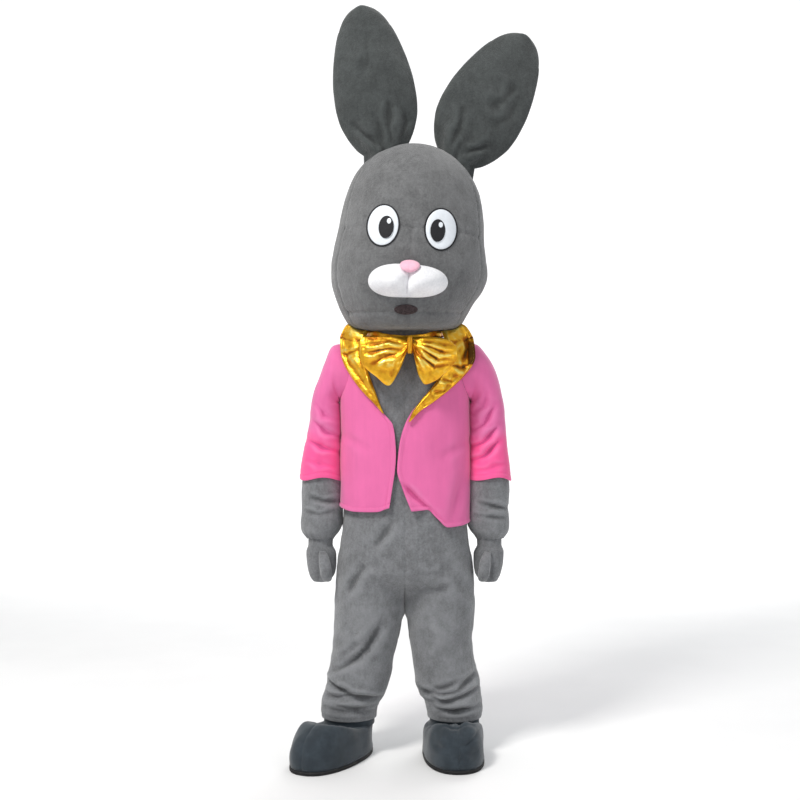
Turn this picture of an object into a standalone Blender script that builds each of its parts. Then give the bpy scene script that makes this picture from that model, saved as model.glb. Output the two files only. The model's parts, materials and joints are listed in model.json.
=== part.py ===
"""A rabbit walk-about costume, as worn: head, body suit, mittens, shoes, jacket and bow tie.

Metres, +Z up, front towards -Y, the wearer's left towards +X. The tables give heights above the
floor. The origin is the middle of the neck at the shoulders, where the wearer holds the costume up.
"""
import math

import bmesh
import bpy
import numpy as np

# Driving sizes
NECK_HEIGHT = 1.40
SEAM_GAP = 0.0003
PLUSH = 0.004
VELBOA = 0.0025
LAME = 0.0015
FOAM_PLUSH = 0.012
GLOVE = 0.005
SHOE_WALL = 0.007
JACKET_EASE = 0.0145
ROUNDNESS = 0.87
HEAD_ROLL = math.radians(4.0)
HEAD_ROLL_START = 1.40
HEAD_ROLL_END = 1.56
HEAD_PIVOT = 1.37
CROTCH_LOW = 0.47
CROTCH_HIGH = 0.60
RIGHT = -1
LEFT = 1
FRONT = -1
BACK = 1

# Armholes, each an oval by its lowest and highest point and its half depth, and the underarm fold
SUIT_ARMHOLE = (1.1455, 1.3095, 0.0775)
JACKET_ARMHOLE = (1.1365, 1.3120, 0.0810)
ARMHOLE_STEPS = 7
UNDERARM_X = 0.2135
UNDERARM_Z = 1.130
HEM_HEIGHT = 0.115
NECK_TOP = 1.385
JACKET_HEM = 0.80
JACKET_HEM_ZONE = 0.84
JACKET_TOP = 1.333
JACKET_SLEEVE_HEM = 0.882
WRIST = 0.69

# Numbers of strips and rows in the solids
SUIT_COLUMNS = 7
TUBE_COLUMNS = 2 * ARMHOLE_STEPS
HEAD_COLUMNS = 28
FACE_COLUMNS = 10


class Table:
    """Named columns beside a rising first one, read between the rows along smooth curves."""

    def __init__(self, names, *rows):
        values = np.array(rows, float).T
        self.at = values[0]
        self.columns = dict(zip(names.split()[1:], values[1:]))

    def read(self, name, where):
        at, value = self.at, self.columns[name]
        step = np.diff(at)
        rise = np.diff(value) / step
        slope = np.empty(len(value))
        slope[0], slope[-1] = rise[0], rise[-1]
        product = rise[:-1] * rise[1:]
        total = np.where(product > 0, rise[:-1] + rise[1:], 1.0)
        slope[1:-1] = np.where(product > 0, 2 * product / total, 0.0)
        where = np.clip(np.asarray(where, float), at[0], at[-1])
        row = np.clip(np.searchsorted(at, where, side="right") - 1, 0, len(step) - 1)
        t = (where - at[row]) / step[row]
        near = (1 + 2 * t) * (1 - t) ** 2 * value[row] + t * t * (3 - 2 * t) * value[row + 1]
        bend = t * (1 - t) ** 2 * slope[row] - t * t * (1 - t) * slope[row + 1]
        return near + bend * step[row]


# The suit's trunk: from the hips over the shoulders to the standing neck
TRUNK = Table(
    "height half_width half_depth",
    (0.45, 0.226, 0.140),
    (0.55, 0.228, 0.146),
    (0.62, 0.221, 0.148),
    (0.70, 0.209, 0.147),
    (0.80, 0.200, 0.145),
    (0.90, 0.197, 0.144),
    (1.05, 0.198, 0.143),
    (1.18, 0.198, 0.140),
    (1.25, 0.198, 0.134),
    (1.29, 0.193, 0.126),
    (1.3095, 0.184, 0.119),
    (1.322, 0.158, 0.113),
    (1.333, 0.132, 0.108),
    (1.341, 0.1203, 0.1052),
    (1.385, 0.120, 0.105),
)

# The legs: the middle and the half width of each, and the half depth of both
LEGS = Table(
    "height right_x right_half left_x left_half half_depth",
    (0.10, 0.180, 0.086, 0.160, 0.084, 0.086),
    (0.13, 0.181, 0.091, 0.161, 0.090, 0.090),
    (0.155, 0.178, 0.095, 0.159, 0.095, 0.096),
    (0.185, 0.167, 0.103, 0.147, 0.103, 0.101),
    (0.215, 0.156, 0.105, 0.139, 0.108, 0.104),
    (0.25, 0.149, 0.107, 0.134, 0.107, 0.104),
    (0.31, 0.137, 0.104, 0.123, 0.103, 0.103),
    (0.38, 0.125, 0.111, 0.115, 0.107, 0.108),
    (0.47, 0.1165, 0.1145, 0.1145, 0.1125, 0.116),
    (0.60, 0.1150, 0.1130, 0.1140, 0.1120, 0.120),
)

# Reach of the sleeve from the underarm fold, by the angle away from straight up
SHOULDER = Table(
    "angle near far_right far_left half_depth",
    (0, 0.0065, 0.193, 0.193, 0.084),
    (8, 0.0062, 0.184, 0.188, 0.0835),
    (13, 0.0060, 0.163, 0.175, 0.083),
    (22, 0.0058, 0.1355, 0.158, 0.081),
    (35, 0.0056, 0.1110, 0.136, 0.078),
    (50, 0.0056, 0.0965, 0.119, 0.075),
    (72, 0.0056, 0.0890, 0.107, 0.072),
    (90, 0.0060, 0.0905, 0.1085, 0.070),
)

# The hanging jacket sleeve: inner and outer side by height
JACKET_ARM = Table(
    "height inner outer_right outer_left half_depth",
    (0.875, 0.2180, 0.3420, 0.3470, 0.074),
    (0.93, 0.2185, 0.3380, 0.3420, 0.072),
    (0.99, 0.2190, 0.3260, 0.3340, 0.070),
    (1.06, 0.2195, 0.3140, 0.3280, 0.069),
    (1.13, 0.2195, 0.3040, 0.3220, 0.070),
)

# The suit's own sleeve, from the wrist gather up into the jacket sleeve
SUIT_ARM = Table(
    "height inner outer_right outer_left half_depth",
    (0.69, 0.2290, 0.3180, 0.3210, 0.047),
    (0.705, 0.2210, 0.3310, 0.3330, 0.060),
    (0.73, 0.2175, 0.3390, 0.3400, 0.067),
    (0.79, 0.2170, 0.3350, 0.3380, 0.068),
    (0.85, 0.2195, 0.3360, 0.3410, 0.067),
    (0.90, 0.2240, 0.3320, 0.3365, 0.064),
    (0.99, 0.2275, 0.3190, 0.3260, 0.062),
    (1.06, 0.2285, 0.3060, 0.3190, 0.061),
    (1.13, 0.2290, 0.2950, 0.3130, 0.0625),
)
SLEEVE_INSET = 0.0082

# The mitten hangs from the wrist to the fingertips
MITTEN = Table(
    "height inner outer half_depth middle_y",
    (0.548, 0.264, 0.280, 0.012, -0.020),
    (0.556, 0.246, 0.296, 0.028, -0.020),
    (0.575, 0.234, 0.309, 0.038, -0.019),
    (0.61, 0.228, 0.317, 0.044, -0.015),
    (0.65, 0.229, 0.320, 0.045, -0.009),
    (0.672, 0.234, 0.314, 0.042, -0.002),
    (0.69, 0.2332, 0.3138, 0.0428, 0.0),
    (0.715, 0.240, 0.307, 0.038, 0.0),
)
MITTEN_ROWS = (0.712, 0.69, 0.665, 0.635, 0.61, 0.587, 0.568, 0.5555)
MITTEN_TIP_DROP = 0.0045
THUMB_COLUMNS = 8
THUMB_SEAT = 0.0021
THUMB_ROWS = (0.655, 0.645, 0.625, 0.60, 0.58, 0.565, 0.558)
THUMB = Table(
    "height middle_x radius",
    (0.558, 0.249, 0.006),
    (0.564, 0.249, 0.0135),
    (0.585, 0.251, 0.019),
    (0.615, 0.255, 0.019),
    (0.640, 0.260, 0.0155),
    (0.655, 0.264, 0.010),
)

# The jacket's front edges, away from the middle, and its hem by the sideways place
FRONT_EDGE = Table(
    "height right left",
    (0.80, 0.048, 0.019),
    (0.87, 0.038, -0.010),
    (0.92, 0.031, -0.0245),
    (0.97, 0.028, -0.021),
    (1.01, 0.030, -0.016),
    (1.06, 0.037, -0.002),
    (1.103, 0.068, 0.020),
    (1.13, 0.079, 0.042),
    (1.19, 0.101, 0.094),
    (1.25, 0.126, 0.128),
    (1.31, 0.140, 0.142),
)
FRONT_HEM = Table(
    "sideways height",
    (-0.23, 0.802),
    (-0.16, 0.787),
    (-0.09, 0.789),
    (-0.045, 0.802),
    (0.02, 0.792),
    (0.073, 0.796),
    (0.10, 0.770),
    (0.136, 0.739),
    (0.18, 0.741),
    (0.23, 0.752),
)
BACK_HEM = Table("sideways height", (-0.23, 0.802), (0.0, 0.775), (0.23, 0.752))

# The lapels lie on the jacket from the break at the bottom to the shoulder
LAPEL = Table(
    "row right_height right_in right_out left_height left_in left_out slant",
    (0, 1.098, 0.066, 0.070, 1.072, 0.010, 0.016, 0.0),
    (1, 1.128, 0.079, 0.096, 1.105, 0.024, 0.048, 0.0),
    (2, 1.165, 0.093, 0.133, 1.135, 0.046, 0.092, 0.0),
    (3, 1.205, 0.108, 0.165, 1.172, 0.078, 0.140, 0.0),
    (4, 1.245, 0.122, 0.190, 1.212, 0.108, 0.184, 0.003),
    (5, 1.280, 0.130, 0.206, 1.262, 0.126, 0.224, 0.010),
    (6, 1.306, 0.126, 0.208, 1.304, 0.126, 0.218, 0.022),
)
# The collar carries on from both lapels round the back of the neck, its outer edge standing up
COLLAR = Table(
    "angle in_height out_height rise",
    (45, 1.332, 1.310, 0.036),
    (70, 1.331, 1.314, 0.038),
    (90, 1.331, 1.318, 0.036),
    (115, 1.329, 1.311, 0.026),
    (145, 1.327, 1.290, 0.014),
    (180, 1.326, 1.282, 0.010),
)
COLLAR_END_IN = 47
COLLAR_END_OUT = 71
COLLAR_COLUMNS = 16
LAPEL_LIFT = {RIGHT: 0.0032, LEFT: 0.0042}
COLLAR_LIFT = 0.0033
LAPEL_RISE = 0.036
LAPEL_LAST_ROW = 6
LAPEL_STEPS = 8

# The head, ring by ring from the neck hole over the cheeks to the crown
HEAD = Table(
    "row height half_width half_depth middle_y roundness",
    (0, 1.360, 0.1209, 0.1059, 0.0, 0.87),
    (1, 1.364, 0.150, 0.150, -0.012, 0.88),
    (2, 1.380, 0.180, 0.190, -0.020, 0.90),
    (3, 1.412, 0.201, 0.218, -0.020, 0.92),
    (4, 1.460, 0.226, 0.238, -0.018, 0.92),
    (5, 1.510, 0.248, 0.249, -0.016, 0.92),
    (6, 1.560, 0.2555, 0.252, -0.014, 0.92),
    (7, 1.612, 0.249, 0.250, -0.012, 0.92),
    (8, 1.668, 0.239, 0.247, -0.008, 0.92),
    (9, 1.728, 0.231, 0.242, -0.004, 0.92),
    (10, 1.788, 0.220, 0.232, 0.0, 0.93),
    (11, 1.846, 0.201, 0.213, 0.004, 0.94),
    (12, 1.897, 0.168, 0.180, 0.006, 0.95),
    (13, 1.940, 0.117, 0.128, 0.008, 0.97),
    (14, 1.966, 0.052, 0.058, 0.009, 1.0),
    (15, 1.972, 0.0, 0.0, 0.010, 1.0),
)
CHIN_DROP = 0.014
CHIN_ROW = 2
CHEEK_ROW = 3
BROW_ROW = 8
CROWN_ROW = 15

# The ears before the head leans: root and tip as seen from the front, then the outline
EARS = {
    RIGHT: dict(root=(-0.108, 1.940), tip=(-0.218, 2.417), width=0.97),
    LEFT: dict(root=(0.126, 1.940), tip=(0.328, 2.358), width=1.02),
}
EAR = Table(
    "part half_width half_thickness",
    (0.0, 0.066, 0.030),
    (0.05, 0.090, 0.031),
    (0.15, 0.118, 0.030),
    (0.25, 0.134, 0.028),
    (0.35, 0.1385, 0.027),
    (0.45, 0.137, 0.025),
    (0.58, 0.128, 0.024),
    (0.70, 0.114, 0.022),
    (0.80, 0.0985, 0.020),
    (0.90, 0.0735, 0.016),
    (0.965, 0.044, 0.010),
    (1.0, 0.010, 0.006),
)
EAR_STATIONS = (0.0, 0.07, 0.18, 0.32, 0.48, 0.63, 0.76, 0.87, 0.955, 1.0)
EAR_COLUMNS = 8
EAR_ROOT_LIFT = 0.0018
EAR_EDGE = 0.0015
EAR_BACK_SET = 0.020
EAR_CURL = 0.012
EAR_ARCH = 0.012
EAR_GATHERS = 2.5
EAR_GATHER_DEPTH = 0.009
EAR_GATHER_PART = 0.05
EAR_GATHER_REACH = 0.16

# The face pads on the head before it leans: places across and up, half sizes and how far they rise
PAD_EDGE = 0.0012
MUZZLE_CENTRE = (0.002, 1.502)
MUZZLE_HALF = (0.122, 0.064)
MUZZLE_RISE = 0.016
MUZZLE_BASE = 0.0009
PUFF_X = 0.062
PUFF_Z = 1.494
PUFF_REACH = (0.075, 0.062)
PUFF_RISE = 0.040
MOUTH_CENTRE = (0.002, 1.416)
MOUTH_HALF = (0.036, 0.015)
MOUTH_RISE = 0.003
MOUTH_BASE = 0.0006
EYE_X = 0.089
EYE_HEIGHT = 1.668
EYE_HALF = (0.047, 0.062)
EYE_RISE = 0.006
EYE_BASE = 0.0022
RIM_WIDTH = 0.005
RIM_BASE = 0.0004
PUPIL_X = 0.079
PUPIL_HEIGHT = 1.662
PUPIL_HALF = (0.023, 0.035)
PUPIL_RISE = 0.002
PUPIL_BASE = 0.0095
GLINT_ASIDE = 0.008
GLINT_HEIGHT = 1.680
GLINT_HALF = (0.0065, 0.0085)
GLINT_RISE = 0.001
GLINT_BASE = 0.0131
NOSE_CENTRE = (0.002, 1.545)
NOSE_HALF = (0.030, 0.020)
NOSE_RISE = 0.016
NOSE_COLUMNS = 14
NOSE_SEAT = 0.0008

# The bow tie's loops, from the knot outwards
BOW = {
    RIGHT: Table(
        "sideways low high puff",
        (-0.0053, 1.288, 1.324, 0.012),
        (0.020, 1.226, 1.333, 0.017),
        (0.052, 1.184, 1.337, 0.019),
        (0.090, 1.212, 1.337, 0.017),
        (0.125, 1.241, 1.337, 0.012),
        (0.138, 1.262, 1.330, 0.006),
    ),
    LEFT: Table(
        "sideways low high puff",
        (0.0247, 1.288, 1.324, 0.012),
        (0.042, 1.214, 1.332, 0.018),
        (0.062, 1.188, 1.337, 0.021),
        (0.095, 1.200, 1.335, 0.020),
        (0.130, 1.230, 1.328, 0.014),
        (0.160, 1.262, 1.306, 0.006),
    ),
}
BOW_MIDDLE_X = 0.015
BOW_Y = -0.176
BOW_TILT = 0.13
BOW_TOP = 1.335
BOW_EDGE = 0.0012
BOW_COLUMNS = 8
BOW_ROWS = 7
BOW_PLEATS = 5
PLEAT_DEPTH = 0.0035
KNOT_HEIGHT = 1.3095
KNOT_HALF = (0.0105, 0.024, 0.0255)
KNOT_WAIST = 0.86
KNOT_SEAT = 0.0002
KNOT_COLUMNS = 14
KNOT_ROWS = 6
BAND_HALF_HEIGHT = 0.0085
BAND_LIFT = 0.0008
BAND_THICKNESS = 0.0016
BAND = Table("angle height", (0, 1.3355), (25, 1.341), (50, 1.3511), (180, 1.3511))

# The shoes: the middle of each and how far it turns out
SHOES = {
    RIGHT: dict(middle=(-0.231, -0.098), turn=27.0),
    LEFT: dict(middle=(0.153, -0.072), turn=4.0),
}
SHOE_HALF_LENGTH = 0.190
SHOE_HALF_WIDTH = 0.0955
SHOE_ROUNDNESS = 0.86
SHOE_COLUMNS = 8
SHOE_ROWS = 8
SOLE_COLUMNS = 24
SOLE_CHAMFER = 0.003
SOLE_INSET = 0.985
UPPER = Table(
    "row reach toe_height heel_height",
    (0, 0.985, 0.0120, 0.0120),
    (1, 1.000, 0.0400, 0.0380),
    (2, 0.960, 0.0800, 0.0640),
    (3, 0.830, 0.1160, 0.0800),
    (4, 0.600, 0.1370, 0.0880),
    (5, 0.340, 0.1220, 0.0900),
    (6, 0.100, 0.0970, 0.0930),
    (7, 0.000, 0.0970, 0.0970),
    (8, 0.000, 0.1190, 0.1190),
)
SOLE_THICKNESS = 0.0117
ANKLE_CLEARANCE = 0.0005

# Largest folds: from one end to the other across the front view, with depth and half width
SUIT_FRONT_FOLDS = (
    (-0.236, 0.284, -0.150, 0.322, 0.010, 0.014),
    (-0.150, 0.322, -0.063, 0.427, 0.009, 0.014),
    (-0.254, 0.236, -0.178, 0.211, 0.010, 0.012),
    (-0.250, 0.195, -0.086, 0.184, 0.011, 0.012),
    (-0.257, 0.150, -0.092, 0.143, 0.008, 0.010),
    (0.054, 0.203, 0.231, 0.262, 0.010, 0.012),
    (0.110, 0.146, 0.244, 0.160, 0.009, 0.010),
    (0.060, 0.172, 0.150, 0.178, 0.007, 0.010),
    (-0.136, 0.614, -0.190, 0.522, 0.006, 0.014),
    (-0.038, 0.756, -0.105, 0.674, 0.005, 0.014),
    (0.150, 0.600, 0.196, 0.520, 0.005, 0.014),
)
SUIT_BACK_FOLDS = (
    (-0.230, 0.330, -0.090, 0.285, 0.009, 0.014),
    (-0.250, 0.215, -0.100, 0.232, 0.010, 0.012),
    (-0.250, 0.172, -0.110, 0.160, 0.009, 0.011),
    (0.060, 0.300, 0.200, 0.335, 0.008, 0.014),
    (0.060, 0.232, 0.235, 0.205, 0.010, 0.012),
    (0.080, 0.165, 0.235, 0.178, 0.009, 0.011),
    (-0.160, 0.560, -0.050, 0.600, 0.006, 0.016),
    (0.055, 0.595, 0.165, 0.550, 0.006, 0.016),
    (-0.120, 0.690, 0.100, 0.700, 0.005, 0.018),
)
JACKET_FRONT_FOLDS = (
    (-0.003, 0.867, 0.079, 0.800, 0.006, 0.014),
    (-0.205, 1.030, -0.120, 0.985, 0.004, 0.014),
    (0.205, 1.010, 0.120, 0.960, 0.004, 0.014),
    (0.190, 0.900, 0.150, 0.760, 0.005, 0.016),
)
JACKET_BACK_FOLDS = (
    (-0.190, 1.120, -0.080, 1.060, 0.005, 0.016),
    (0.190, 1.120, 0.080, 1.050, 0.005, 0.016),
    (-0.080, 1.000, -0.110, 0.800, 0.004, 0.018),
    (0.090, 0.980, 0.120, 0.790, 0.004, 0.018),
)
SLEEVE_FRONT_FOLDS = (
    (-0.310, 1.075, -0.222, 1.010, 0.005, 0.012),
    (-0.318, 1.010, -0.222, 0.970, 0.005, 0.012),
    (0.235, 0.945, 0.300, 1.005, 0.006, 0.012),
    (0.230, 0.990, 0.305, 1.060, 0.006, 0.012),
    (0.228, 1.050, 0.290, 1.125, 0.005, 0.012),
    (-0.300, 0.828, -0.225, 0.812, 0.005, 0.010),
    (0.255, 0.806, 0.340, 0.790, 0.005, 0.010),
)
SLEEVE_BACK_FOLDS = (
    (-0.310, 1.050, -0.222, 1.000, 0.005, 0.012),
    (-0.318, 0.960, -0.225, 0.985, 0.004, 0.012),
    (0.228, 1.000, 0.310, 1.040, 0.005, 0.012),
    (0.230, 0.955, 0.320, 0.965, 0.004, 0.012),
    (-0.310, 0.800, -0.230, 0.815, 0.005, 0.010),
    (0.235, 0.812, 0.320, 0.798, 0.005, 0.010),
)

# Finishes: colour, roughness, metallic
FINISHES = {
    "grey_plush": ((0.175, 0.178, 0.185), 0.95, 0.0),
    "head_plush": ((0.135, 0.138, 0.140), 0.95, 0.0),
    "ear_plush": ((0.058, 0.068, 0.070), 0.95, 0.0),
    "pink_velboa": ((0.83, 0.20, 0.43), 0.85, 0.0),
    "gold_lame": ((0.80, 0.44, 0.035), 0.28, 0.9),
    "white_fleece": ((0.82, 0.82, 0.84), 0.8, 0.0),
    "pink_fleece": ((0.86, 0.50, 0.58), 0.7, 0.0),
    "black_felt": ((0.012, 0.012, 0.014), 0.6, 0.0),
    "eye_white": ((0.72, 0.76, 0.80), 0.4, 0.0),
    "mouth_mesh": ((0.018, 0.014, 0.014), 0.8, 0.0),
    "shoe_cloth": ((0.035, 0.044, 0.052), 0.6, 0.0),
    "shoe_sole": ((0.015, 0.015, 0.016), 0.75, 0.0),
}


def side_name(side):
    return "right" if side == RIGHT else "left"


def ease(value):
    """A soft step from 0 to 1."""
    value = np.clip(value, 0.0, 1.0)
    return value * value * (3 - 2 * value)


def bend_power(value, power):
    return np.sign(value) * np.abs(value) ** power


def make_material(finish):
    material = bpy.data.materials.get(finish)
    if material:
        return material
    colour, roughness, metallic = FINISHES[finish]
    material = bpy.data.materials.new(finish)
    material.use_nodes = True
    shader = material.node_tree.nodes["Principled BSDF"]
    shader.inputs["Base Color"].default_value = (*colour, 1.0)
    shader.inputs["Roughness"].default_value = roughness
    shader.inputs["Metallic"].default_value = metallic
    material.diffuse_color = (*colour, 1.0)
    return material


def around(count):
    """Angles of a ring of points."""
    return np.linspace(0, 2 * math.pi, count, endpoint=False)


def shape(name, points, faces, finish, parent):
    """One named object from points and faces, its doubled points merged and its faces turned out."""
    mesh = bpy.data.meshes.new(name)
    mesh.from_pydata([tuple(point) for point in points], [], faces)
    work = bmesh.new()
    work.from_mesh(mesh)
    bmesh.ops.remove_doubles(work, verts=work.verts[:], dist=1e-6)
    bmesh.ops.recalc_face_normals(work, faces=work.faces[:])
    work.to_mesh(mesh)
    work.free()
    mesh.shade_smooth()
    mesh.set_sharp_from_angle(angle=math.radians(50))
    item = bpy.data.objects.new(name, mesh)
    item.data.materials.append(make_material(finish))
    bpy.context.scene.collection.objects.link(item)
    item.parent = parent
    return item


def strip_faces(first, second, wrap, flip):
    """Triangles between two rows of point numbers."""
    faces = []
    count = len(first)
    for i in range(count if wrap else count - 1):
        j = (i + 1) % count
        a, b, c, d = first[i], first[j], second[j], second[i]
        faces += [(a, c, b), (a, d, c)] if flip else [(a, b, c), (a, c, d)]
    return [face for face in faces if len(set(face)) == 3]


def draw_apart(grid, edges):
    """Moves a panel's edges inwards by half the seam gap. edges names which: low or high u or v."""
    grid = grid.copy()

    def pull(edge, inner):
        seam = np.gradient(edge, axis=0)
        seam /= np.maximum(np.linalg.norm(seam, axis=-1, keepdims=True), 1e-9)
        way = inner - edge
        way -= (way * seam).sum(axis=-1, keepdims=True) * seam
        length = np.linalg.norm(way, axis=-1, keepdims=True)
        return edge + way / np.maximum(length, 1e-9) * SEAM_GAP * 0.6

    if "low_v" in edges:
        grid[0] = pull(grid[0], grid[1])
    if "high_v" in edges:
        grid[-1] = pull(grid[-1], grid[-2])
    if "low_u" in edges:
        grid[:, 0] = pull(grid[:, 0], grid[:, 1])
    if "high_u" in edges:
        grid[:, -1] = pull(grid[:, -1], grid[:, -2])
    return grid


def wall(name, outer, inner, finish, parent, wrap=False, tip=False):
    """A closed wall between an outer and an inner grid of points, rows by columns. wrap joins the
    last column to the first, and tip closes the last row to a point."""
    rows, columns = outer.shape[:2]
    points = np.concatenate([outer.reshape(-1, 3), inner.reshape(-1, 3)])
    number = np.arange(rows * columns).reshape(rows, columns)
    far = number + rows * columns
    if tip:
        number[-1] = number[-1, 0]
        far[-1] = far[-1, 0]
    faces = []
    for r in range(rows - 1):
        faces += strip_faces(number[r], number[r + 1], wrap, False)
        faces += strip_faces(far[r], far[r + 1], wrap, True)
    faces += strip_faces(number[0], far[0], wrap, True)
    if not tip:
        faces += strip_faces(number[-1], far[-1], wrap, False)
    if not wrap:
        faces += strip_faces(number[:, 0], far[:, 0], False, False)
        faces += strip_faces(number[:, -1], far[:, -1], False, True)
    used = sorted({corner for face in faces for corner in face})
    place = {corner: i for i, corner in enumerate(used)}
    faces = [tuple(place[corner] for corner in face) for face in faces]
    return shape(name, points[used], faces, finish, parent)


def stuffed(name, rings, finish, parent):
    """A solid form from rings of points, closed at both ends by a point in the ring's middle."""
    rows, count = rings.shape[:2]
    points = np.concatenate([rings.reshape(-1, 3), [rings[0].mean(axis=0), rings[-1].mean(axis=0)]])
    number = np.arange(rows * count).reshape(rows, count)
    faces = []
    for r in range(rows - 1):
        faces += strip_faces(number[r], number[r + 1], True, False)
    faces += strip_faces([rows * count] * count, number[0], True, False)
    faces += strip_faces(number[-1], [rows * count + 1] * count, True, False)
    return shape(name, points, faces, finish, parent)


def grid_normals(surface, u, v, outward):
    """Directions straight out of a surface at each place of a grid, from its slopes."""
    step = 5e-4
    across = surface(u + step, v) - surface(u - step, v)
    along = surface(u, v + step) - surface(u, v - step)
    normal = np.cross(across, along)
    normal /= np.maximum(np.linalg.norm(normal, axis=-1, keepdims=True), 1e-12)
    return normal * outward


def fold_depth(x, z, folds):
    """How deep the listed folds press the cloth in, at places of the front view."""
    depth = np.zeros(np.broadcast(x, z).shape)
    for start_x, start_z, end_x, end_z, deep, width in folds:
        run_x, run_z = end_x - start_x, end_z - start_z
        length = math.hypot(run_x, run_z)
        part = ((x - start_x) * run_x + (z - start_z) * run_z) / length**2
        part = np.clip(part, 0, 1)
        away = np.hypot(x - start_x - part * run_x, z - start_z - part * run_z) / width
        taper = 0.45 + 0.55 * np.sin(math.pi * np.clip(part, 0.08, 0.92))
        depth += deep * taper * (1 - 0.45 * away**2) * np.exp(-0.5 * away**2)
    return depth


def folded(points, normals, front_folds, back_folds):
    """Presses the folds into points: those of the front where y is below 0, else of the back."""
    x, y, z = points[..., 0], points[..., 1], points[..., 2]
    facing = ease(0.5 + y / 0.05)
    depth = fold_depth(x, z, front_folds) * (1 - facing) + fold_depth(x, z, back_folds) * facing
    depth *= ease((z - HEM_HEIGHT - 0.003) / 0.03)
    return points - normals * depth[..., None]


def armhole_width(height, armhole):
    """Half the armhole's depth from front to back at a height, and 0 above and below it."""
    low, high, half_depth = armhole
    part = (2 * height - low - high) / (high - low)
    return half_depth * np.sqrt(np.clip(1 - part**2, 0, 1))


def trunk_point(angle, height):
    """The trunk's outer face. angle is 0 at the middle of the front and grows to the left."""
    half_width = TRUNK.read("half_width", height)
    half_depth = TRUNK.read("half_depth", height)
    x = half_width * bend_power(np.sin(angle), ROUNDNESS)
    y = -half_depth * bend_power(np.cos(angle), ROUNDNESS)
    return np.stack(np.broadcast_arrays(x, y, height), axis=-1)


def side_angle(height, armhole):
    """The angle from the middle of the front to the side seam, or to the armhole's edge."""
    part = armhole_width(height, armhole) / TRUNK.read("half_depth", height)
    return np.arccos(np.clip(part, 0, 1) ** (1 / ROUNDNESS))


def suit_surface(side, face):
    """The outer face of one quarter of the suit: across 0 is the middle or inside-leg seam, 1 the
    side seam, and height is above the floor."""
    name = side_name(side)

    def surface(across, height):
        angle = across * side_angle(height, SUIT_ARMHOLE)
        trunk = trunk_point(angle, height)
        turn = math.pi * across
        middle = LEGS.read(name + "_x", height)
        half = LEGS.read(name + "_half", height)
        leg_x = middle - half * np.cos(turn)
        leg_y = -LEGS.read("half_depth", height) * np.sin(turn)
        legs = 1 - ease((height - CROTCH_LOW) / (CROTCH_HIGH - CROTCH_LOW))
        x = (1 - legs) * trunk[..., 0] + legs * leg_x
        y = (1 - legs) * trunk[..., 1] + legs * leg_y
        return np.stack([side * x, -face * y, trunk[..., 2]], axis=-1)

    return surface


def armhole_heights(armhole):
    low, high, _ = armhole
    turn = np.linspace(0, math.pi, ARMHOLE_STEPS + 1)
    return (low + high) / 2 - (high - low) / 2 * np.cos(turn)


def grid_of(across, heights):
    return np.meshgrid(np.asarray(across, float), np.asarray(heights, float))


def make_suit(parent):
    """Two fronts and two backs, each in one piece with its leg."""
    below = (HEM_HEIGHT, 0.135, 0.158, 0.182, 0.208, 0.235, 0.265, 0.30, 0.34, 0.385, 0.43,
             0.475, 0.52, 0.57, 0.625, 0.70, 0.79, 0.95)
    above = (1.322, 1.333, 1.341, NECK_TOP)
    heights = np.concatenate([below, armhole_heights(SUIT_ARMHOLE), above])
    across = np.linspace(0, 1, SUIT_COLUMNS + 1)
    for side in (RIGHT, LEFT):
        for face in (FRONT, BACK):
            surface = suit_surface(side, face)
            u, v = grid_of(across, heights)
            points = surface(u, v)
            normals = grid_normals(surface, u, v, -side * face)
            outer = folded(points, normals, SUIT_FRONT_FOLDS, SUIT_BACK_FOLDS)
            inner = outer - normals * PLUSH
            half_gap = SEAM_GAP / 2
            for grid in (outer, inner):
                grid[..., 0] = side * np.maximum(side * grid[..., 0], half_gap)
                grid[..., 1] = face * np.maximum(face * grid[..., 1], half_gap)
            label = "suit_%s_%s" % ("front" if face == FRONT else "back", side_name(side))
            wall(label, outer, inner, "grey_plush", parent)


def sleeve_rings(side, first, near_shift, depth_shift, arm, heights, angles):
    """Rings of a sleeve, from the armhole round the shoulder and down. Columns run from the
    underarm over the front to the outside and back."""
    turn = around(TUBE_COLUMNS)
    rings = [first]
    for angle in angles:
        near = SHOULDER.read("near", angle) + near_shift
        far = SHOULDER.read("far_" + side_name(side), angle) - near_shift
        reach = (near + far) / 2 - (far - near) / 2 * np.cos(turn)
        way = math.radians(angle)
        x = UNDERARM_X + reach * math.sin(way)
        z = UNDERARM_Z + reach * math.cos(way)
        y = -(SHOULDER.read("half_depth", angle) - depth_shift) * np.sin(turn)
        rings.append(np.stack([side * x, y, z], axis=-1))
    for height in heights:
        inner = arm.read("inner", height)
        outer = arm.read("outer_" + side_name(side), height)
        x = (inner + outer) / 2 - (outer - inner) / 2 * np.cos(turn)
        y = -arm.read("half_depth", height) * np.sin(turn)
        rings.append(np.stack([side * x, y, np.full_like(x, height)], axis=-1))
    return np.array(rings)


def tube_normals(rings):
    """Directions out of a tube of rings, from the neighbours of each point."""
    around = np.roll(rings, -1, axis=1) - np.roll(rings, 1, axis=1)
    along = np.gradient(rings, axis=0)
    normals = np.cross(around, along)
    normals /= np.maximum(np.linalg.norm(normals, axis=-1, keepdims=True), 1e-12)
    out = rings - rings.mean(axis=1, keepdims=True)
    facing = np.sign((normals * out).sum(axis=(1, 2)))
    return normals * facing[:, None, None]


def armhole_ring(side, panel_point, armhole, lift):
    """The armhole's edge as a ring, lifted off the panel. panel_point takes angle and height."""
    heights = armhole_heights(armhole)
    angle = side_angle(heights, armhole)
    front = panel_point(angle, heights)
    back = panel_point(math.pi - angle, heights)
    ring = np.concatenate([front, back[-2:0:-1]])
    ring[:, 0] += lift
    ring[:, 0] *= side
    return ring


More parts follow.
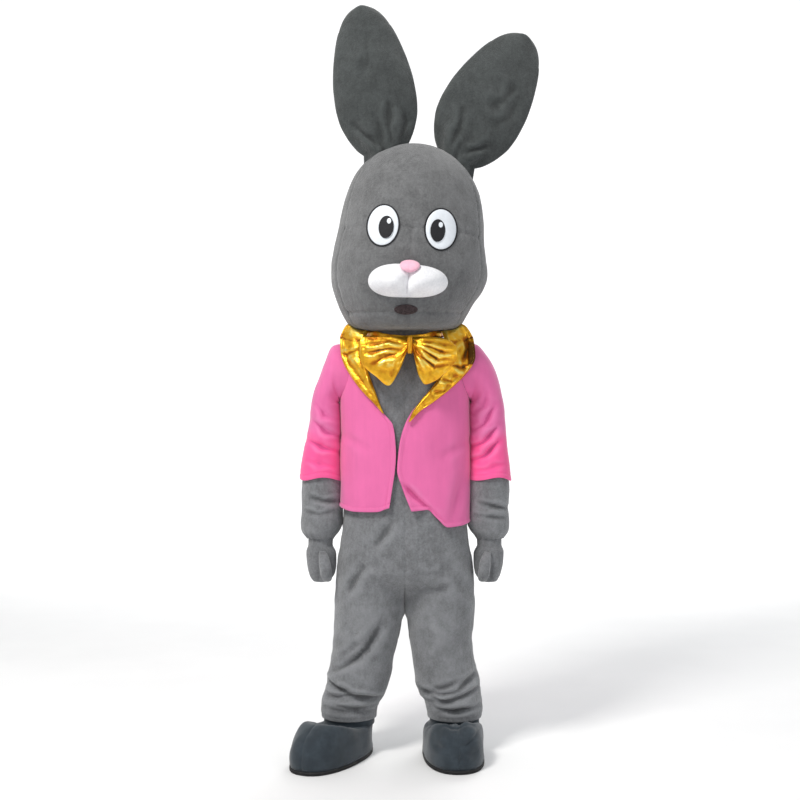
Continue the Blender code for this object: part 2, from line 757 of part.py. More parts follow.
def make_sleeve(name, side, ring, near_shift, depth_shift, arm, heights, angles, thick, finish, parent):
    rings = sleeve_rings(side, ring, near_shift, depth_shift, arm, heights, angles)
    normals = tube_normals(rings)
    folded_rings = folded(rings, normals, SLEEVE_FRONT_FOLDS, SLEEVE_BACK_FOLDS)
    folded_rings[0] = rings[0]
    inner = folded_rings - normals * thick
    inner[0] = rings[0] + (rings[0].mean(axis=0) - rings[0]) * (thick / 0.08)
    inner[0][:, 0] = rings[0][:, 0]
    wall(name, folded_rings, inner, finish, parent, wrap=True)


def make_suit_sleeves(parent):
    heights = (1.04, 0.94, 0.88, 0.85, 0.825, 0.80, 0.77, 0.74, 0.715, WRIST)
    for side in (RIGHT, LEFT):
        ring = armhole_ring(side, trunk_point, SUIT_ARMHOLE, SEAM_GAP)
        make_sleeve("suit_sleeve_" + side_name(side), side, ring, SLEEVE_INSET, SLEEVE_INSET - 0.001,
                    SUIT_ARM, heights, (16, 50, 90), PLUSH, "grey_plush", parent)


def jacket_point(angle, height):
    """A point of the jacket's outer face, moved straight out of the trunk."""
    points = trunk_point(angle, height)
    normals = grid_normals(trunk_point, angle, height, 1.0)
    return points + normals * JACKET_EASE


def hem_height(height, sideways, hem):
    """Lets the lowest stretch of the jacket down to its hem."""
    drop = JACKET_HEM - hem.read("height", sideways)
    share = np.clip((JACKET_HEM_ZONE + 0.08 - height) / (JACKET_HEM_ZONE + 0.08 - JACKET_HEM), 0, 1)
    return height - drop * share


def jacket_front_surface(side):
    name = side_name(side)

    def surface(across, height):
        edge = FRONT_EDGE.read(name, height)
        half = TRUNK.read("half_width", height)
        edge = np.minimum(edge, half - 0.022)
        start = np.arcsin(bend_power(edge / half, 1 / ROUNDNESS))
        angle = start + across * (side_angle(height, JACKET_ARMHOLE) - start)
        points = jacket_point(angle, height)
        points[..., 0] *= side
        points[..., 2] = hem_height(points[..., 2], points[..., 0], FRONT_HEM)
        return points

    return surface


def jacket_back_surface(across, height):
    """across runs from -1 at the right side seam to 1 at the left one."""
    angle = math.pi - across * side_angle(height, JACKET_ARMHOLE)
    points = jacket_point(angle, height)
    points[..., 2] = hem_height(points[..., 2], points[..., 0], BACK_HEM)
    return points


def make_jacket(parent):
    lower = (JACKET_HEM, 0.84, 0.88, 0.92, 0.965, 1.01, 1.055, 1.10)
    shoulder = np.concatenate([armhole_heights(JACKET_ARMHOLE), (1.322, JACKET_TOP)])
    heights = np.concatenate([lower, shoulder])
    for side in (RIGHT, LEFT):
        surface = jacket_front_surface(side)
        u, v = grid_of(np.linspace(0, 1, 7), heights)
        normals = grid_normals(surface, u, v, side)
        outer = folded(surface(u, v), normals, JACKET_FRONT_FOLDS, JACKET_BACK_FOLDS)
        inner = outer - normals * VELBOA
        outer, inner = [draw_apart(grid, ("high_u",)) for grid in (outer, inner)]
        for grid in (outer, inner):
            grid[..., 1] = np.minimum(grid[..., 1], -SEAM_GAP / 2)
        wall("jacket_front_" + side_name(side), outer, inner, "pink_velboa", parent)
    lower = (JACKET_HEM, 0.84, 0.90, 0.97, 1.05)
    heights = np.concatenate([lower, shoulder])
    u, v = grid_of(np.linspace(-1, 1, 11), heights)
    normals = grid_normals(jacket_back_surface, u, v, -1.0)
    outer = folded(jacket_back_surface(u, v), normals, JACKET_FRONT_FOLDS, JACKET_BACK_FOLDS)
    inner = outer - normals * VELBOA
    for grid in (outer, inner):
        grid[..., 1] = np.maximum(grid[..., 1], SEAM_GAP / 2)
    wall("jacket_back", outer, inner, "pink_velboa", parent)
    heights = (1.08, 1.03, 0.99, 0.95, 0.915, JACKET_SLEEVE_HEM)
    for side in (RIGHT, LEFT):
        ring = armhole_ring(side, jacket_point, JACKET_ARMHOLE, SEAM_GAP)
        make_sleeve("jacket_sleeve_" + side_name(side), side, ring, 0.0, 0.0, JACKET_ARM, heights,
                    (8, 20, 36, 54, 72, 90), VELBOA, "pink_velboa", parent)


def jacket_front_y(x, z):
    """How far forward the worn jacket reaches at a place of the front view, sleeves included."""
    x = np.abs(x)
    under = z - 0.010 * ease((z - 1.27) / 0.05)
    half_width = TRUNK.read("half_width", under) + JACKET_EASE
    half_depth = TRUNK.read("half_depth", under) + JACKET_EASE
    part = np.clip(1 - np.clip(x / half_width, 0, 1) ** (2 / ROUNDNESS), 0, 1)
    body = half_depth * part ** (ROUNDNESS / 2)
    low, high, half_hole = JACKET_ARMHOLE
    place = (z - (low + high) / 2 - 0.004) / ((high - low) / 2 + 0.010)
    sleeve = (half_hole + 0.009) * np.sqrt(np.clip(1 - place**2, 0, 1))
    soft = 0.010
    return -np.logaddexp(body / soft, sleeve / soft) * soft


def lapel_surface(side):
    """across runs from the inner edge to the outer, row from the break up to the shoulder."""
    name = side_name(side)

    def surface(across, row):
        near = LAPEL.read(name + "_in", row)
        far = LAPEL.read(name + "_out", row)
        height = LAPEL.read(name + "_height", row) + LAPEL.read("slant", row) * (1 - across)
        x = near + (far - near) * across
        y = jacket_front_y(x, height) - LAPEL_LIFT[side]
        rise = LAPEL_RISE * ease((row - 4) / 2) * across**2
        return np.stack([side * x, y, height + rise], axis=-1)

    return surface


def make_lapels(parent):
    for side in (RIGHT, LEFT):
        surface = lapel_surface(side)
        u, v = grid_of(np.linspace(0, 1, 4), np.linspace(0, LAPEL_LAST_ROW, LAPEL_STEPS + 1))
        normals = grid_normals(surface, u, v, side)
        outer = surface(u, v)
        inner = outer - normals * LAME
        outer, inner = [draw_apart(grid, ("high_v",)) for grid in (outer, inner)]
        wall("lapel_" + side_name(side), outer, inner, "gold_lame", parent)


def collar_surface(across, part):
    """across runs from the neck to the outer edge, part from the right shoulder to the left."""
    end = COLLAR_END_IN + (COLLAR_END_OUT - COLLAR_END_IN) * across
    from_front = 180 - np.abs(part) * (180 - end)
    angle = np.where(part < 0, 2 * math.pi - np.radians(from_front), np.radians(from_front))
    top = COLLAR.read("in_height", from_front)
    low = COLLAR.read("out_height", from_front)
    height = top + (low - top) * across
    points = trunk_point(angle, height)
    normals = grid_normals(trunk_point, angle, height, 1.0)
    points = points + normals * (JACKET_EASE + COLLAR_LIFT)
    points[..., 2] += COLLAR.read("rise", from_front) * across**2
    return points


def make_collar(parent):
    u, v = grid_of(np.linspace(0, 1, 4), np.linspace(-1, 1, COLLAR_COLUMNS + 1))
    normals = grid_normals(collar_surface, u, v, -1.0)
    outer = collar_surface(u, v)
    wall("collar", outer, outer - normals * LAME, "gold_lame", parent)


def head_ring_point(angle, row):
    """The head's outer face before it leans. angle is 0 at the face and grows to the left."""
    half_width = HEAD.read("half_width", row)
    half_depth = HEAD.read("half_depth", row)
    roundness = HEAD.read("roundness", row)
    x = half_width * bend_power(np.sin(angle), roundness)
    y = HEAD.read("middle_y", row) - half_depth * bend_power(np.cos(angle), roundness)
    z = HEAD.read("height", row) - chin_drop(angle, row)
    return np.stack(np.broadcast_arrays(x, y, z), axis=-1)


def chin_drop(angle, row):
    """How much lower the head hangs in front, at the chin."""
    front = np.clip(np.cos(angle), 0, 1) ** 2
    return CHIN_DROP * front * np.exp(-(((row - CHIN_ROW) / 0.9) ** 2))


def lean(points):
    """Tips the head and what is on it to the left, more and more from the neck up."""
    x, y, z = points[..., 0], points[..., 1], points[..., 2]
    turn = HEAD_ROLL * ease((z - HEAD_ROLL_START) / (HEAD_ROLL_END - HEAD_ROLL_START))
    up = z - HEAD_PIVOT
    new_x = x * np.cos(turn) + up * np.sin(turn)
    new_z = HEAD_PIVOT + up * np.cos(turn) - x * np.sin(turn)
    return np.stack([new_x, y, new_z], axis=-1)


def face_y(x, z):
    """How far forward the head's face is at a place of its front view, by halving the rows."""
    low = np.full(np.shape(x), 1.5)
    high = np.full(np.shape(x), 12.0)
    for _ in range(24):
        row = (low + high) / 2
        roundness = HEAD.read("roundness", row)
        part = np.clip(np.abs(x) / HEAD.read("half_width", row), 0, 1)
        angle = np.arcsin(part ** (1 / roundness))
        above = HEAD.read("height", row) - chin_drop(angle, row) > z
        high = np.where(above, row, high)
        low = np.where(above, low, row)
    return HEAD.read("middle_y", row) - HEAD.read("half_depth", row) * np.cos(angle) ** roundness


def make_head(parent):
    """Forehead and crown, two cheeks, chin and two backs."""
    turn = 2 * math.pi / HEAD_COLUMNS
    side_turn = FACE_COLUMNS / 2 * turn
    half_face = FACE_COLUMNS // 2
    back_columns = (HEAD_COLUMNS - FACE_COLUMNS) // 2

    def panel(name, first, last, columns, low_row, high_row, edges):
        angles = np.linspace(first, last, columns + 1)
        rows = np.arange(low_row, high_row + 1)
        u, v = grid_of(angles, rows)
        outer = head_ring_point(u, v)
        normals = grid_normals(head_ring_point, u, np.clip(v, 0.02, CROWN_ROW - 0.05), 1.0)
        pole = rows[-1] == CROWN_ROW
        if pole:
            normals[-1] = (0, 0, 1)
        inner = outer - normals * FOAM_PLUSH
        if low_row == 0:
            inner[0, :, :2] = outer[0, :, :2]
        middle = (first + last) / 2
        if pole:
            shift = np.array([math.sin(middle), -math.cos(middle), 0]) * 2 * SEAM_GAP
            outer[-1] += shift
            inner[-1] += shift
        outer, inner = [lean(draw_apart(grid, edges)) for grid in (outer, inner)]
        wall(name, outer, inner, "head_plush", parent)

    panel("head_chin", -side_turn, side_turn, FACE_COLUMNS, 0, CHEEK_ROW, ("low_u", "high_u", "high_v"))
    panel("head_cheek_right", -side_turn, 0, half_face, CHEEK_ROW, BROW_ROW,
          ("low_u", "high_u", "low_v", "high_v"))
    panel("head_cheek_left", 0, side_turn, half_face, CHEEK_ROW, BROW_ROW,
          ("low_u", "high_u", "low_v", "high_v"))
    panel("head_forehead", -side_turn, side_turn, FACE_COLUMNS, BROW_ROW, CROWN_ROW,
          ("low_u", "high_u", "low_v"))
    panel("head_back_left", side_turn, math.pi, back_columns, 0, CROWN_ROW, ("low_u", "high_u"))
    panel("head_back_right", -math.pi, -side_turn, back_columns, 0, CROWN_ROW, ("low_u", "high_u"))


def dome(reach):
    """A rounded rise from 0 at a pad's edge to 1 in its middle."""
    return np.sqrt(np.clip(1 - reach**2, 0, 1))


def face_pad(name, finish, centre, half, rise, base, parent, rings, columns, outline=None, bulge=None):
    """A padded piece laid on the face, or on what lies there: a domed patch with a thin edge."""
    u, v = grid_of(around(columns), np.linspace(1, 0, rings + 1))
    stretch = outline(u) if outline else 1.0
    x = centre[0] + v * half[0] * stretch * np.sin(u)
    z = centre[1] + v * half[1] * stretch * np.cos(u)
    back = face_y(x, z) - base
    front = back - PAD_EDGE - rise * dome(v)
    if bulge:
        front = front - bulge(x, z, v)
    outer = lean(np.stack([x, front, z], axis=-1))
    inner = lean(np.stack([x, back, z], axis=-1))
    return wall(name, outer, inner, finish, parent, wrap=True, tip=True)


def muzzle_outline(turn):
    """Two rounded puffs side by side, a little pinched above and below the middle."""
    return 1.0 - 0.17 * np.cos(turn) ** 4 - 0.05 * np.cos(turn) ** 2


def muzzle_bulge(x, z, reach):
    """Each puff swells forward, and the dip between them stays low."""
    swell = 0.0
    for side in (RIGHT, LEFT):
        away = ((x - side * PUFF_X) / PUFF_REACH[0]) ** 2 + ((z - PUFF_Z) / PUFF_REACH[1]) ** 2
        swell = np.maximum(swell, np.exp(-away))
    return PUFF_RISE * swell * dome(reach)


def make_face(parent):
    """The muzzle, the mouth's mesh and the eyes in layers, then the nose."""
    face_pad("muzzle", "white_fleece", MUZZLE_CENTRE, MUZZLE_HALF, MUZZLE_RISE, MUZZLE_BASE, parent,
             5, 24, muzzle_outline, muzzle_bulge)
    face_pad("mouth_mesh", "mouth_mesh", MOUTH_CENTRE, MOUTH_HALF, MOUTH_RISE, MOUTH_BASE, parent, 2, 16)
    rim_half = (EYE_HALF[0] + RIM_WIDTH, EYE_HALF[1] + RIM_WIDTH)
    for side in (RIGHT, LEFT):
        name = side_name(side)
        eye = (side * EYE_X, EYE_HEIGHT)
        pupil = (side * PUPIL_X, PUPIL_HEIGHT)
        glint = (side * PUPIL_X + GLINT_ASIDE, GLINT_HEIGHT)
        face_pad("eye_rim_" + name, "black_felt", eye, rim_half, 0.0, RIM_BASE, parent, 2, 16)
        face_pad("eye_white_" + name, "eye_white", eye, EYE_HALF, EYE_RISE, EYE_BASE, parent, 2, 16)
        face_pad("pupil_" + name, "black_felt", pupil, PUPIL_HALF, PUPIL_RISE, PUPIL_BASE, parent, 2, 12)
        face_pad("glint_" + name, "eye_white", glint, GLINT_HALF, GLINT_RISE, GLINT_BASE, parent, 1, 10)
    make_nose(parent)


def make_nose(parent):
    """A small rounded pink pad between the puffs."""
    u, v = grid_of(around(NOSE_COLUMNS), np.linspace(1, 0, 4))
    stretch = 1 + 0.12 * np.sin(u) ** 2 * np.cos(u)
    x = NOSE_CENTRE[0] + v * NOSE_HALF[0] * stretch * np.sin(u)
    z = NOSE_CENTRE[1] + v * NOSE_HALF[1] * np.cos(u)
    away = np.hypot((x - MUZZLE_CENTRE[0]) / MUZZLE_HALF[0], (z - MUZZLE_CENTRE[1]) / MUZZLE_HALF[1])
    below = MUZZLE_BASE + PAD_EDGE + MUZZLE_RISE * dome(away) + muzzle_bulge(x, z, away)
    back = face_y(x, z) - below + NOSE_SEAT
    front = back - PAD_EDGE - NOSE_RISE * dome(v)
    outer = lean(np.stack([x, front, z], axis=-1))
    inner = lean(np.stack([x, back, z], axis=-1))
    wall("nose", outer, inner, "pink_fleece", parent, wrap=True, tip=True)


def crown_height(x, y):
    """The height of the head's top over a place, by halving the range of rows."""
    low = np.full(np.shape(x), 8.0)
    high = np.full(np.shape(x), float(CROWN_ROW))
    for _ in range(30):
        row = (low + high) / 2
        wide = np.maximum(HEAD.read("half_width", row), 1e-6)
        deep = np.maximum(HEAD.read("half_depth", row), 1e-6)
        power = 2 / HEAD.read("roundness", row)
        inside = (np.abs(x) / wide) ** power + (np.abs(y - HEAD.read("middle_y", row)) / deep) ** power
        low = np.where(inside < 1, row, low)
        high = np.where(inside < 1, high, row)
    return HEAD.read("height", (low + high) / 2)


def ear_middle(across, part):
    """How far back the ear's middle sheet stands: a shallow scoop, arched forward half way up."""
    return EAR_BACK_SET + EAR_CURL * across**2 - EAR_ARCH * np.sin(math.pi * part) ** 2


def ear_surface(side, face):
    """across runs from -1 to 1 over the ear's width, part from the root to the tip."""
    ear = EARS[side]
    root, tip = np.array(ear["root"]), np.array(ear["tip"])
    length = np.linalg.norm(tip - root)
    way = (tip - root) / length
    side_way = np.array([way[1], -way[0]])

    def surface(across, part):
        wide = EAR.read("half_width", part) * ear["width"]
        flat = root + way * (part * length)[..., None] + side_way * (across * wide)[..., None]
        swell = EAR_EDGE + EAR.read("half_thickness", part) * dome(across)
        gather = np.exp(-(((part - EAR_GATHER_PART) / EAR_GATHER_REACH) ** 2))
        groove = np.clip(np.cos(across * EAR_GATHERS * math.pi), 0, 1)
        swell = swell - EAR_GATHER_DEPTH * gather * groove
        y = ear_middle(across, part) + face * swell
        return np.stack([flat[..., 0], y, flat[..., 1]], axis=-1)

    return surface


def make_ears(parent):
    across = np.sin(np.linspace(-math.pi / 2, math.pi / 2, EAR_COLUMNS + 1))
    u, v = grid_of(across, EAR_STATIONS)
    for side in (RIGHT, LEFT):
        for face in (FRONT, BACK):
            outer = ear_surface(side, face)(u, v)
            inner = outer.copy()
            inner[..., 1] = ear_middle(u, v) + face * SEAM_GAP / 2
            for grid in (outer, inner):
                grid[0, :, 2] = crown_height(grid[0, :, 0], grid[0, :, 1]) + EAR_ROOT_LIFT
            label = "ear_%s_%s" % ("front" if face == FRONT else "back", side_name(side))
            wall(label, lean(outer), lean(inner), "ear_plush", parent)


def make_mittens(parent):
    """The two hands, open at the wrist."""
    for side in (RIGHT, LEFT):
        u, v = grid_of(around(TUBE_COLUMNS), MITTEN_ROWS)
        near, far = MITTEN.read("inner", v), MITTEN.read("outer", v)
        x = (near + far) / 2 - (far - near) / 2 * np.cos(u)
        y = MITTEN.read("middle_y", v) - MITTEN.read("half_depth", v) * np.sin(u)
        outer = np.stack([side * x, y, v], axis=-1)
        axis = outer.mean(axis=1, keepdims=True)
        size = np.linalg.norm(outer - axis, axis=-1, keepdims=True)
        inner = axis + (outer - axis) * (1 - GLOVE / size)
        inner[-1, :, 2] += GLOVE * 0.9
        tip = axis[-1:] - np.array([0, 0, MITTEN_TIP_DROP])
        inner_tip = tip + np.array([0, 0, GLOVE])
        outer = np.concatenate([outer, np.repeat(tip, TUBE_COLUMNS, axis=1)])
        inner = np.concatenate([inner, np.repeat(inner_tip, TUBE_COLUMNS, axis=1)])
        wall("mitten_hand_" + side_name(side), outer, inner, "grey_plush", parent, wrap=True, tip=True)


def make_thumbs(parent):
    """The stuffed thumbs, in front of the hands."""
    for side in (RIGHT, LEFT):
        u, v = grid_of(around(THUMB_COLUMNS), THUMB_ROWS)
        radius = THUMB.read("radius", v)
        x = THUMB.read("middle_x", v) - radius * np.cos(u)
        hand_front = MITTEN.read("middle_y", v) - MITTEN.read("half_depth", v)
        y = hand_front + THUMB_SEAT - radius - radius * np.sin(u)
        rings = np.stack([side * x, y, v], axis=-1)
        stuffed("mitten_thumb_" + side_name(side), rings, "grey_plush", parent)


def bow_middle_y(height):
    return BOW_Y - BOW_TILT * (BOW_TOP - height)


def make_bow(parent):
    """Two puffed, pleated loops and the knot, whose back reaches to the neckband."""
    for side in (RIGHT, LEFT):
        table = BOW[side]
        u, v = grid_of(np.linspace(0, 1, BOW_COLUMNS + 1), np.linspace(0, 1, BOW_ROWS + 1))
        sideways = table.at[0] + (table.at[-1] - table.at[0]) * u
        low, high = table.read("low", sideways), table.read("high", sideways)
        height = low + (high - low) * v
        swell = BOW_EDGE + table.read("puff", sideways) * np.sin(math.pi * np.clip(v, 0, 1)) ** 0.6
        swell += PLEAT_DEPTH * np.cos(BOW_PLEATS * math.pi * v) * (1 - u) * np.sin(math.pi * v)
        middle = bow_middle_y(height)
        front = np.stack([side * sideways, middle - swell, height], axis=-1)
        back = np.stack([side * sideways, middle + swell, height], axis=-1)
        wall("bow_loop_" + side_name(side), front, back, "gold_lame", parent)
    half_x, half_y, half_z = KNOT_HALF
    u, v = grid_of(around(KNOT_COLUMNS), np.linspace(-1, 1, KNOT_ROWS + 1))
    height = KNOT_HEIGHT + half_z * v
    middle = bow_middle_y(KNOT_HEIGHT)
    band_front = -TRUNK.read("half_depth", height) - BAND_LIFT - BAND_THICKNESS
    waist = half_x * (KNOT_WAIST + (1 - KNOT_WAIST) * v**2)
    x = BOW_MIDDLE_X + waist * bend_power(np.sin(u), 0.8) * np.sqrt(1 - 0.5 * v**4)
    front = middle - half_y * bend_power(np.cos(u), 0.8)
    back = middle + (band_front + KNOT_SEAT - middle) * np.sqrt(np.maximum(-np.cos(u), 0))
    rings = np.stack([x, np.where(front > middle, back, front), height], axis=-1)
    stuffed("bow_knot", rings, "gold_lame", parent)


def band_surface(across, turn):
    from_front = np.degrees(np.abs((turn + math.pi) % (2 * math.pi) - math.pi))
    height = BAND.read("height", from_front) + across * BAND_HALF_HEIGHT
    points = trunk_point(turn, height)
    normals = grid_normals(trunk_point, turn, height, 1.0)
    return points + normals * (BAND_LIFT + BAND_THICKNESS), normals


def make_band(parent):
    """The neckband, a strip all round."""
    turn, across = np.meshgrid(around(HEAD_COLUMNS), np.linspace(-1, 1, 4))
    outer, normals = band_surface(across, turn)
    inner = outer - normals * BAND_THICKNESS
    wall("bow_band", outer, inner, "gold_lame", parent, wrap=True)


def shoe_frame(side):
    shoe = SHOES[side]
    turn = math.radians(shoe["turn"])
    way = np.array([side * math.sin(turn), -math.cos(turn)])
    across = np.array([-way[1], way[0]])
    return np.array(shoe["middle"]), way, across


def sole_outline(side, turn, inset=0.0):
    """The sole's edge in plan. turn is 0 at the toe and grows to the wearer's left."""
    middle, way, across = shoe_frame(side)
    along = (SHOE_HALF_LENGTH - inset) * bend_power(np.cos(turn), SHOE_ROUNDNESS)
    beside = (SHOE_HALF_WIDTH - inset) * bend_power(np.sin(turn), SHOE_ROUNDNESS)
    return middle + along[..., None] * way + beside[..., None] * across


def ankle_ring(side, turn, inset=0.0):
    """The shoe's ankle opening in plan: just inside the flat faces of the trouser hem's wall."""
    _, way, _ = shoe_frame(side)
    name = side_name(side)
    flat = math.cos(math.pi / SUIT_COLUMNS / 2)
    x_middle = side * LEGS.read(name + "_x", HEM_HEIGHT)
    half = (LEGS.read(name + "_half", HEM_HEIGHT) - PLUSH) * flat - ANKLE_CLEARANCE - inset
    deep = (LEGS.read("half_depth", HEM_HEIGHT) - PLUSH) * flat - ANKLE_CLEARANCE - inset
    angle = turn + math.atan2(way[0], -way[1])
    return np.stack([x_middle + half * np.sin(angle), -deep * np.cos(angle)], axis=-1)


def shoe_surface(side, turn, row, inset):
    """The upper's outer face, or with an inset the face inside its wall."""
    outline = sole_outline(side, turn, inset)
    ankle = ankle_ring(side, turn, inset)
    plan = ankle + (outline - ankle) * UPPER.read("reach", row)[..., None]
    toe = ease((np.cos(turn) + 0.1) / 1.1)
    height = UPPER.read("toe_height", row) * toe + UPPER.read("heel_height", row) * (1 - toe)
    height = height - inset * ease(row) * ease(SHOE_ROWS - row)
    return np.concatenate([plan, height[..., None]], axis=-1)


def make_shoes(parent):
    """Inner and outer half of each upper, and the sole."""
    rows = np.arange(SHOE_ROWS + 1)
    for side in (RIGHT, LEFT):
        name = side_name(side)
        for label, first in (("outer", 0.0), ("inner", side * math.pi)):
            u, v = grid_of(first + side * np.linspace(0, math.pi, SHOE_COLUMNS + 1), rows)
            grids = [shoe_surface(side, u, v, inset) for inset in (0.0, SHOE_WALL)]
            outer, inner = [draw_apart(grid, ("low_u", "high_u")) for grid in grids]
            wall("shoe_%s_%s" % (label, name), outer, inner, "shoe_cloth", parent)
        edge = sole_outline(side, around(SOLE_COLUMNS))
        middle = np.array(SHOES[side]["middle"])
        rings = []
        for height, grow in ((0.0, SOLE_INSET), (SOLE_CHAMFER, 1.0), (SOLE_THICKNESS, 1.0)):
            plan = middle + (edge - middle) * grow
            rings.append(np.column_stack([plan, np.full(SOLE_COLUMNS, height)]))
        stuffed("shoe_sole_" + name, np.array(rings), "shoe_sole", parent)


def main():
    for item in list(bpy.data.objects):
        bpy.data.objects.remove(item)
    hold = bpy.data.objects.new("neck_hold", None)
    hold.location = (0, 0, -NECK_HEIGHT)
    bpy.context.scene.collection.objects.link(hold)
    bpy.context.view_layer.update()
    for make in (make_suit, make_suit_sleeves, make_jacket, make_lapels, make_collar, make_head, make_face,
                 make_ears, make_mittens, make_thumbs, make_bow, make_band, make_shoes):
        make(hold)
    bpy.context.view_layer.update()


main()
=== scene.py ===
"""Looks of the rabbit walk-about costume: fine cloth over each solid, its creases, nap and finishes.

Metres, +Z up, front towards -Y, the wearer's left towards +X. The tables give heights above the
floor, and each mesh is lowered to the frame, whose origin is the middle of the neck.
"""
import json
import math

import bmesh
import bpy
import numpy as np
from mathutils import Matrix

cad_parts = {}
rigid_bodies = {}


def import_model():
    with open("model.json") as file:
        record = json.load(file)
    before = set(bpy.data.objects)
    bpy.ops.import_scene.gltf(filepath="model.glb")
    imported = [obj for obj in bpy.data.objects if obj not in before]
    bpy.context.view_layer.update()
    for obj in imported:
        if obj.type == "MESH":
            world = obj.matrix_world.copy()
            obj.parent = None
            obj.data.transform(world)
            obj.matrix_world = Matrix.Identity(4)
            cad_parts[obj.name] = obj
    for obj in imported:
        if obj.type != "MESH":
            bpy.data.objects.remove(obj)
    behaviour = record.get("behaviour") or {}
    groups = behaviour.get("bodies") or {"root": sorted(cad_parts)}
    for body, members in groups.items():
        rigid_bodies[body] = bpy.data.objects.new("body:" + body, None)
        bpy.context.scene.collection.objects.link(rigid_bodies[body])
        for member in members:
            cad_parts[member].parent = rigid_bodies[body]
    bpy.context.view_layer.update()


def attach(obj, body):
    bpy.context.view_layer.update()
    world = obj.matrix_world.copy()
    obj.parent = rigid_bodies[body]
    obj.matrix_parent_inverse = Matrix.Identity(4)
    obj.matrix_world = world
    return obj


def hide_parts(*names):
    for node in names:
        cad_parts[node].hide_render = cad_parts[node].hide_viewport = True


for item in list(bpy.data.objects):
    bpy.data.objects.remove(item)
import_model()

# Driving sizes, as in the solids

NECK_HEIGHT = 1.40
PLUSH = 0.004
VELBOA = 0.0025
LAME = 0.0015
FOAM_PLUSH = 0.012
GLOVE = 0.005
SHOE_WALL = 0.007
JACKET_EASE = 0.0145
ROUNDNESS = 0.87
HEAD_ROLL = math.radians(4.0)
HEAD_ROLL_START = 1.40
HEAD_ROLL_END = 1.56
HEAD_PIVOT = 1.37
CROTCH_LOW = 0.47
CROTCH_HIGH = 0.60
RIGHT = -1
LEFT = 1
FRONT = -1
BACK = 1
SIDES = (RIGHT, LEFT)
FACE_NAMES = {FRONT: "front", BACK: "back"}

# Armholes, each an oval by its lowest and highest point and its half depth, and the underarm fold
SUIT_ARMHOLE = (1.1455, 1.3095, 0.0775)
JACKET_ARMHOLE = (1.1365, 1.3120, 0.0810)
UNDERARM_X = 0.2135
UNDERARM_Z = 1.130
HEM_HEIGHT = 0.115
NECK_TOP = 1.385
JACKET_HEM = 0.80
JACKET_HEM_ZONE = 0.84
JACKET_TOP = 1.333
JACKET_SLEEVE_HEM = 0.882
WRIST = 0.69

# Numbers of strips and rows in the solids
SUIT_COLUMNS = 7
HEAD_COLUMNS = 28
FACE_COLUMNS = 10


class Table:
    """Named columns beside a rising first one, read between the rows along smooth curves."""

    def __init__(self, names, *rows):
        values = np.array(rows, float).T
        self.at = values[0]
        self.columns = dict(zip(names.split()[1:], values[1:]))

    def read(self, name, where):
        at, value = self.at, self.columns[name]
        step = np.diff(at)
        rise = np.diff(value) / step
        slope = np.empty(len(value))
        slope[0], slope[-1] = rise[0], rise[-1]
        product = rise[:-1] * rise[1:]
        total = np.where(product > 0, rise[:-1] + rise[1:], 1.0)
        slope[1:-1] = np.where(product > 0, 2 * product / total, 0.0)
        where = np.clip(np.asarray(where, float), at[0], at[-1])
        row = np.clip(np.searchsorted(at, where, side="right") - 1, 0, len(step) - 1)
        t = (where - at[row]) / step[row]
        near = (1 + 2 * t) * (1 - t) ** 2 * value[row] + t * t * (3 - 2 * t) * value[row + 1]
        bend = t * (1 - t) ** 2 * slope[row] - t * t * (1 - t) * slope[row + 1]
        return near + bend * step[row]


# The suit's trunk: from the hips over the shoulders to the standing neck
TRUNK = Table(
    "height half_width half_depth",
    (0.45, 0.226, 0.14),
    (0.55, 0.228, 0.146),
    (0.62, 0.221, 0.148),
    (0.7, 0.209, 0.147),
    (0.8, 0.2, 0.145),
    (0.9, 0.197, 0.144),
    (1.05, 0.198, 0.143),
    (1.18, 0.198, 0.14),
    (1.25, 0.198, 0.134),
    (1.29, 0.193, 0.126),
    (1.3095, 0.184, 0.119),
    (1.322, 0.158, 0.113),
    (1.333, 0.132, 0.108),
    (1.341, 0.1203, 0.1052),
    (1.385, 0.12, 0.105),
)

# The legs: the middle and the half width of each, and the half depth of both
LEGS = Table(
    "height right_x right_half left_x left_half half_depth",
    (0.1, 0.18, 0.086, 0.16, 0.084, 0.086),
    (0.13, 0.181, 0.091, 0.161, 0.09, 0.09),
    (0.155, 0.178, 0.095, 0.159, 0.095, 0.096),
    (0.185, 0.167, 0.103, 0.147, 0.103, 0.101),
    (0.215, 0.156, 0.105, 0.139, 0.108, 0.104),
    (0.25, 0.149, 0.107, 0.134, 0.107, 0.104),
    (0.31, 0.137, 0.104, 0.123, 0.103, 0.103),
    (0.38, 0.125, 0.111, 0.115, 0.107, 0.108),
    (0.47, 0.1165, 0.1145, 0.1145, 0.1125, 0.116),
    (0.6, 0.115, 0.113, 0.114, 0.112, 0.12),
)

# Reach of the sleeve from the underarm fold, by the angle away from straight up
SHOULDER = Table(
    "angle near far_right far_left half_depth",
    (0, 0.0065, 0.193, 0.193, 0.084),
    (8, 0.0062, 0.184, 0.188, 0.0835),
    (13, 0.006, 0.163, 0.175, 0.083),
    (22, 0.0058, 0.1355, 0.158, 0.081),
    (35, 0.0056, 0.111, 0.136, 0.078),
    (50, 0.0056, 0.0965, 0.119, 0.075),
    (72, 0.0056, 0.089, 0.107, 0.072),
    (90, 0.006, 0.0905, 0.1085, 0.07),
)

# The hanging jacket sleeve: inner and outer side by height
JACKET_ARM = Table(
    "height inner outer_right outer_left half_depth",
    (0.875, 0.218, 0.342, 0.347, 0.074),
    (0.93, 0.2185, 0.338, 0.342, 0.072),
    (0.99, 0.219, 0.326, 0.334, 0.07),
    (1.06, 0.2195, 0.314, 0.328, 0.069),
    (1.13, 0.2195, 0.304, 0.322, 0.07),
)

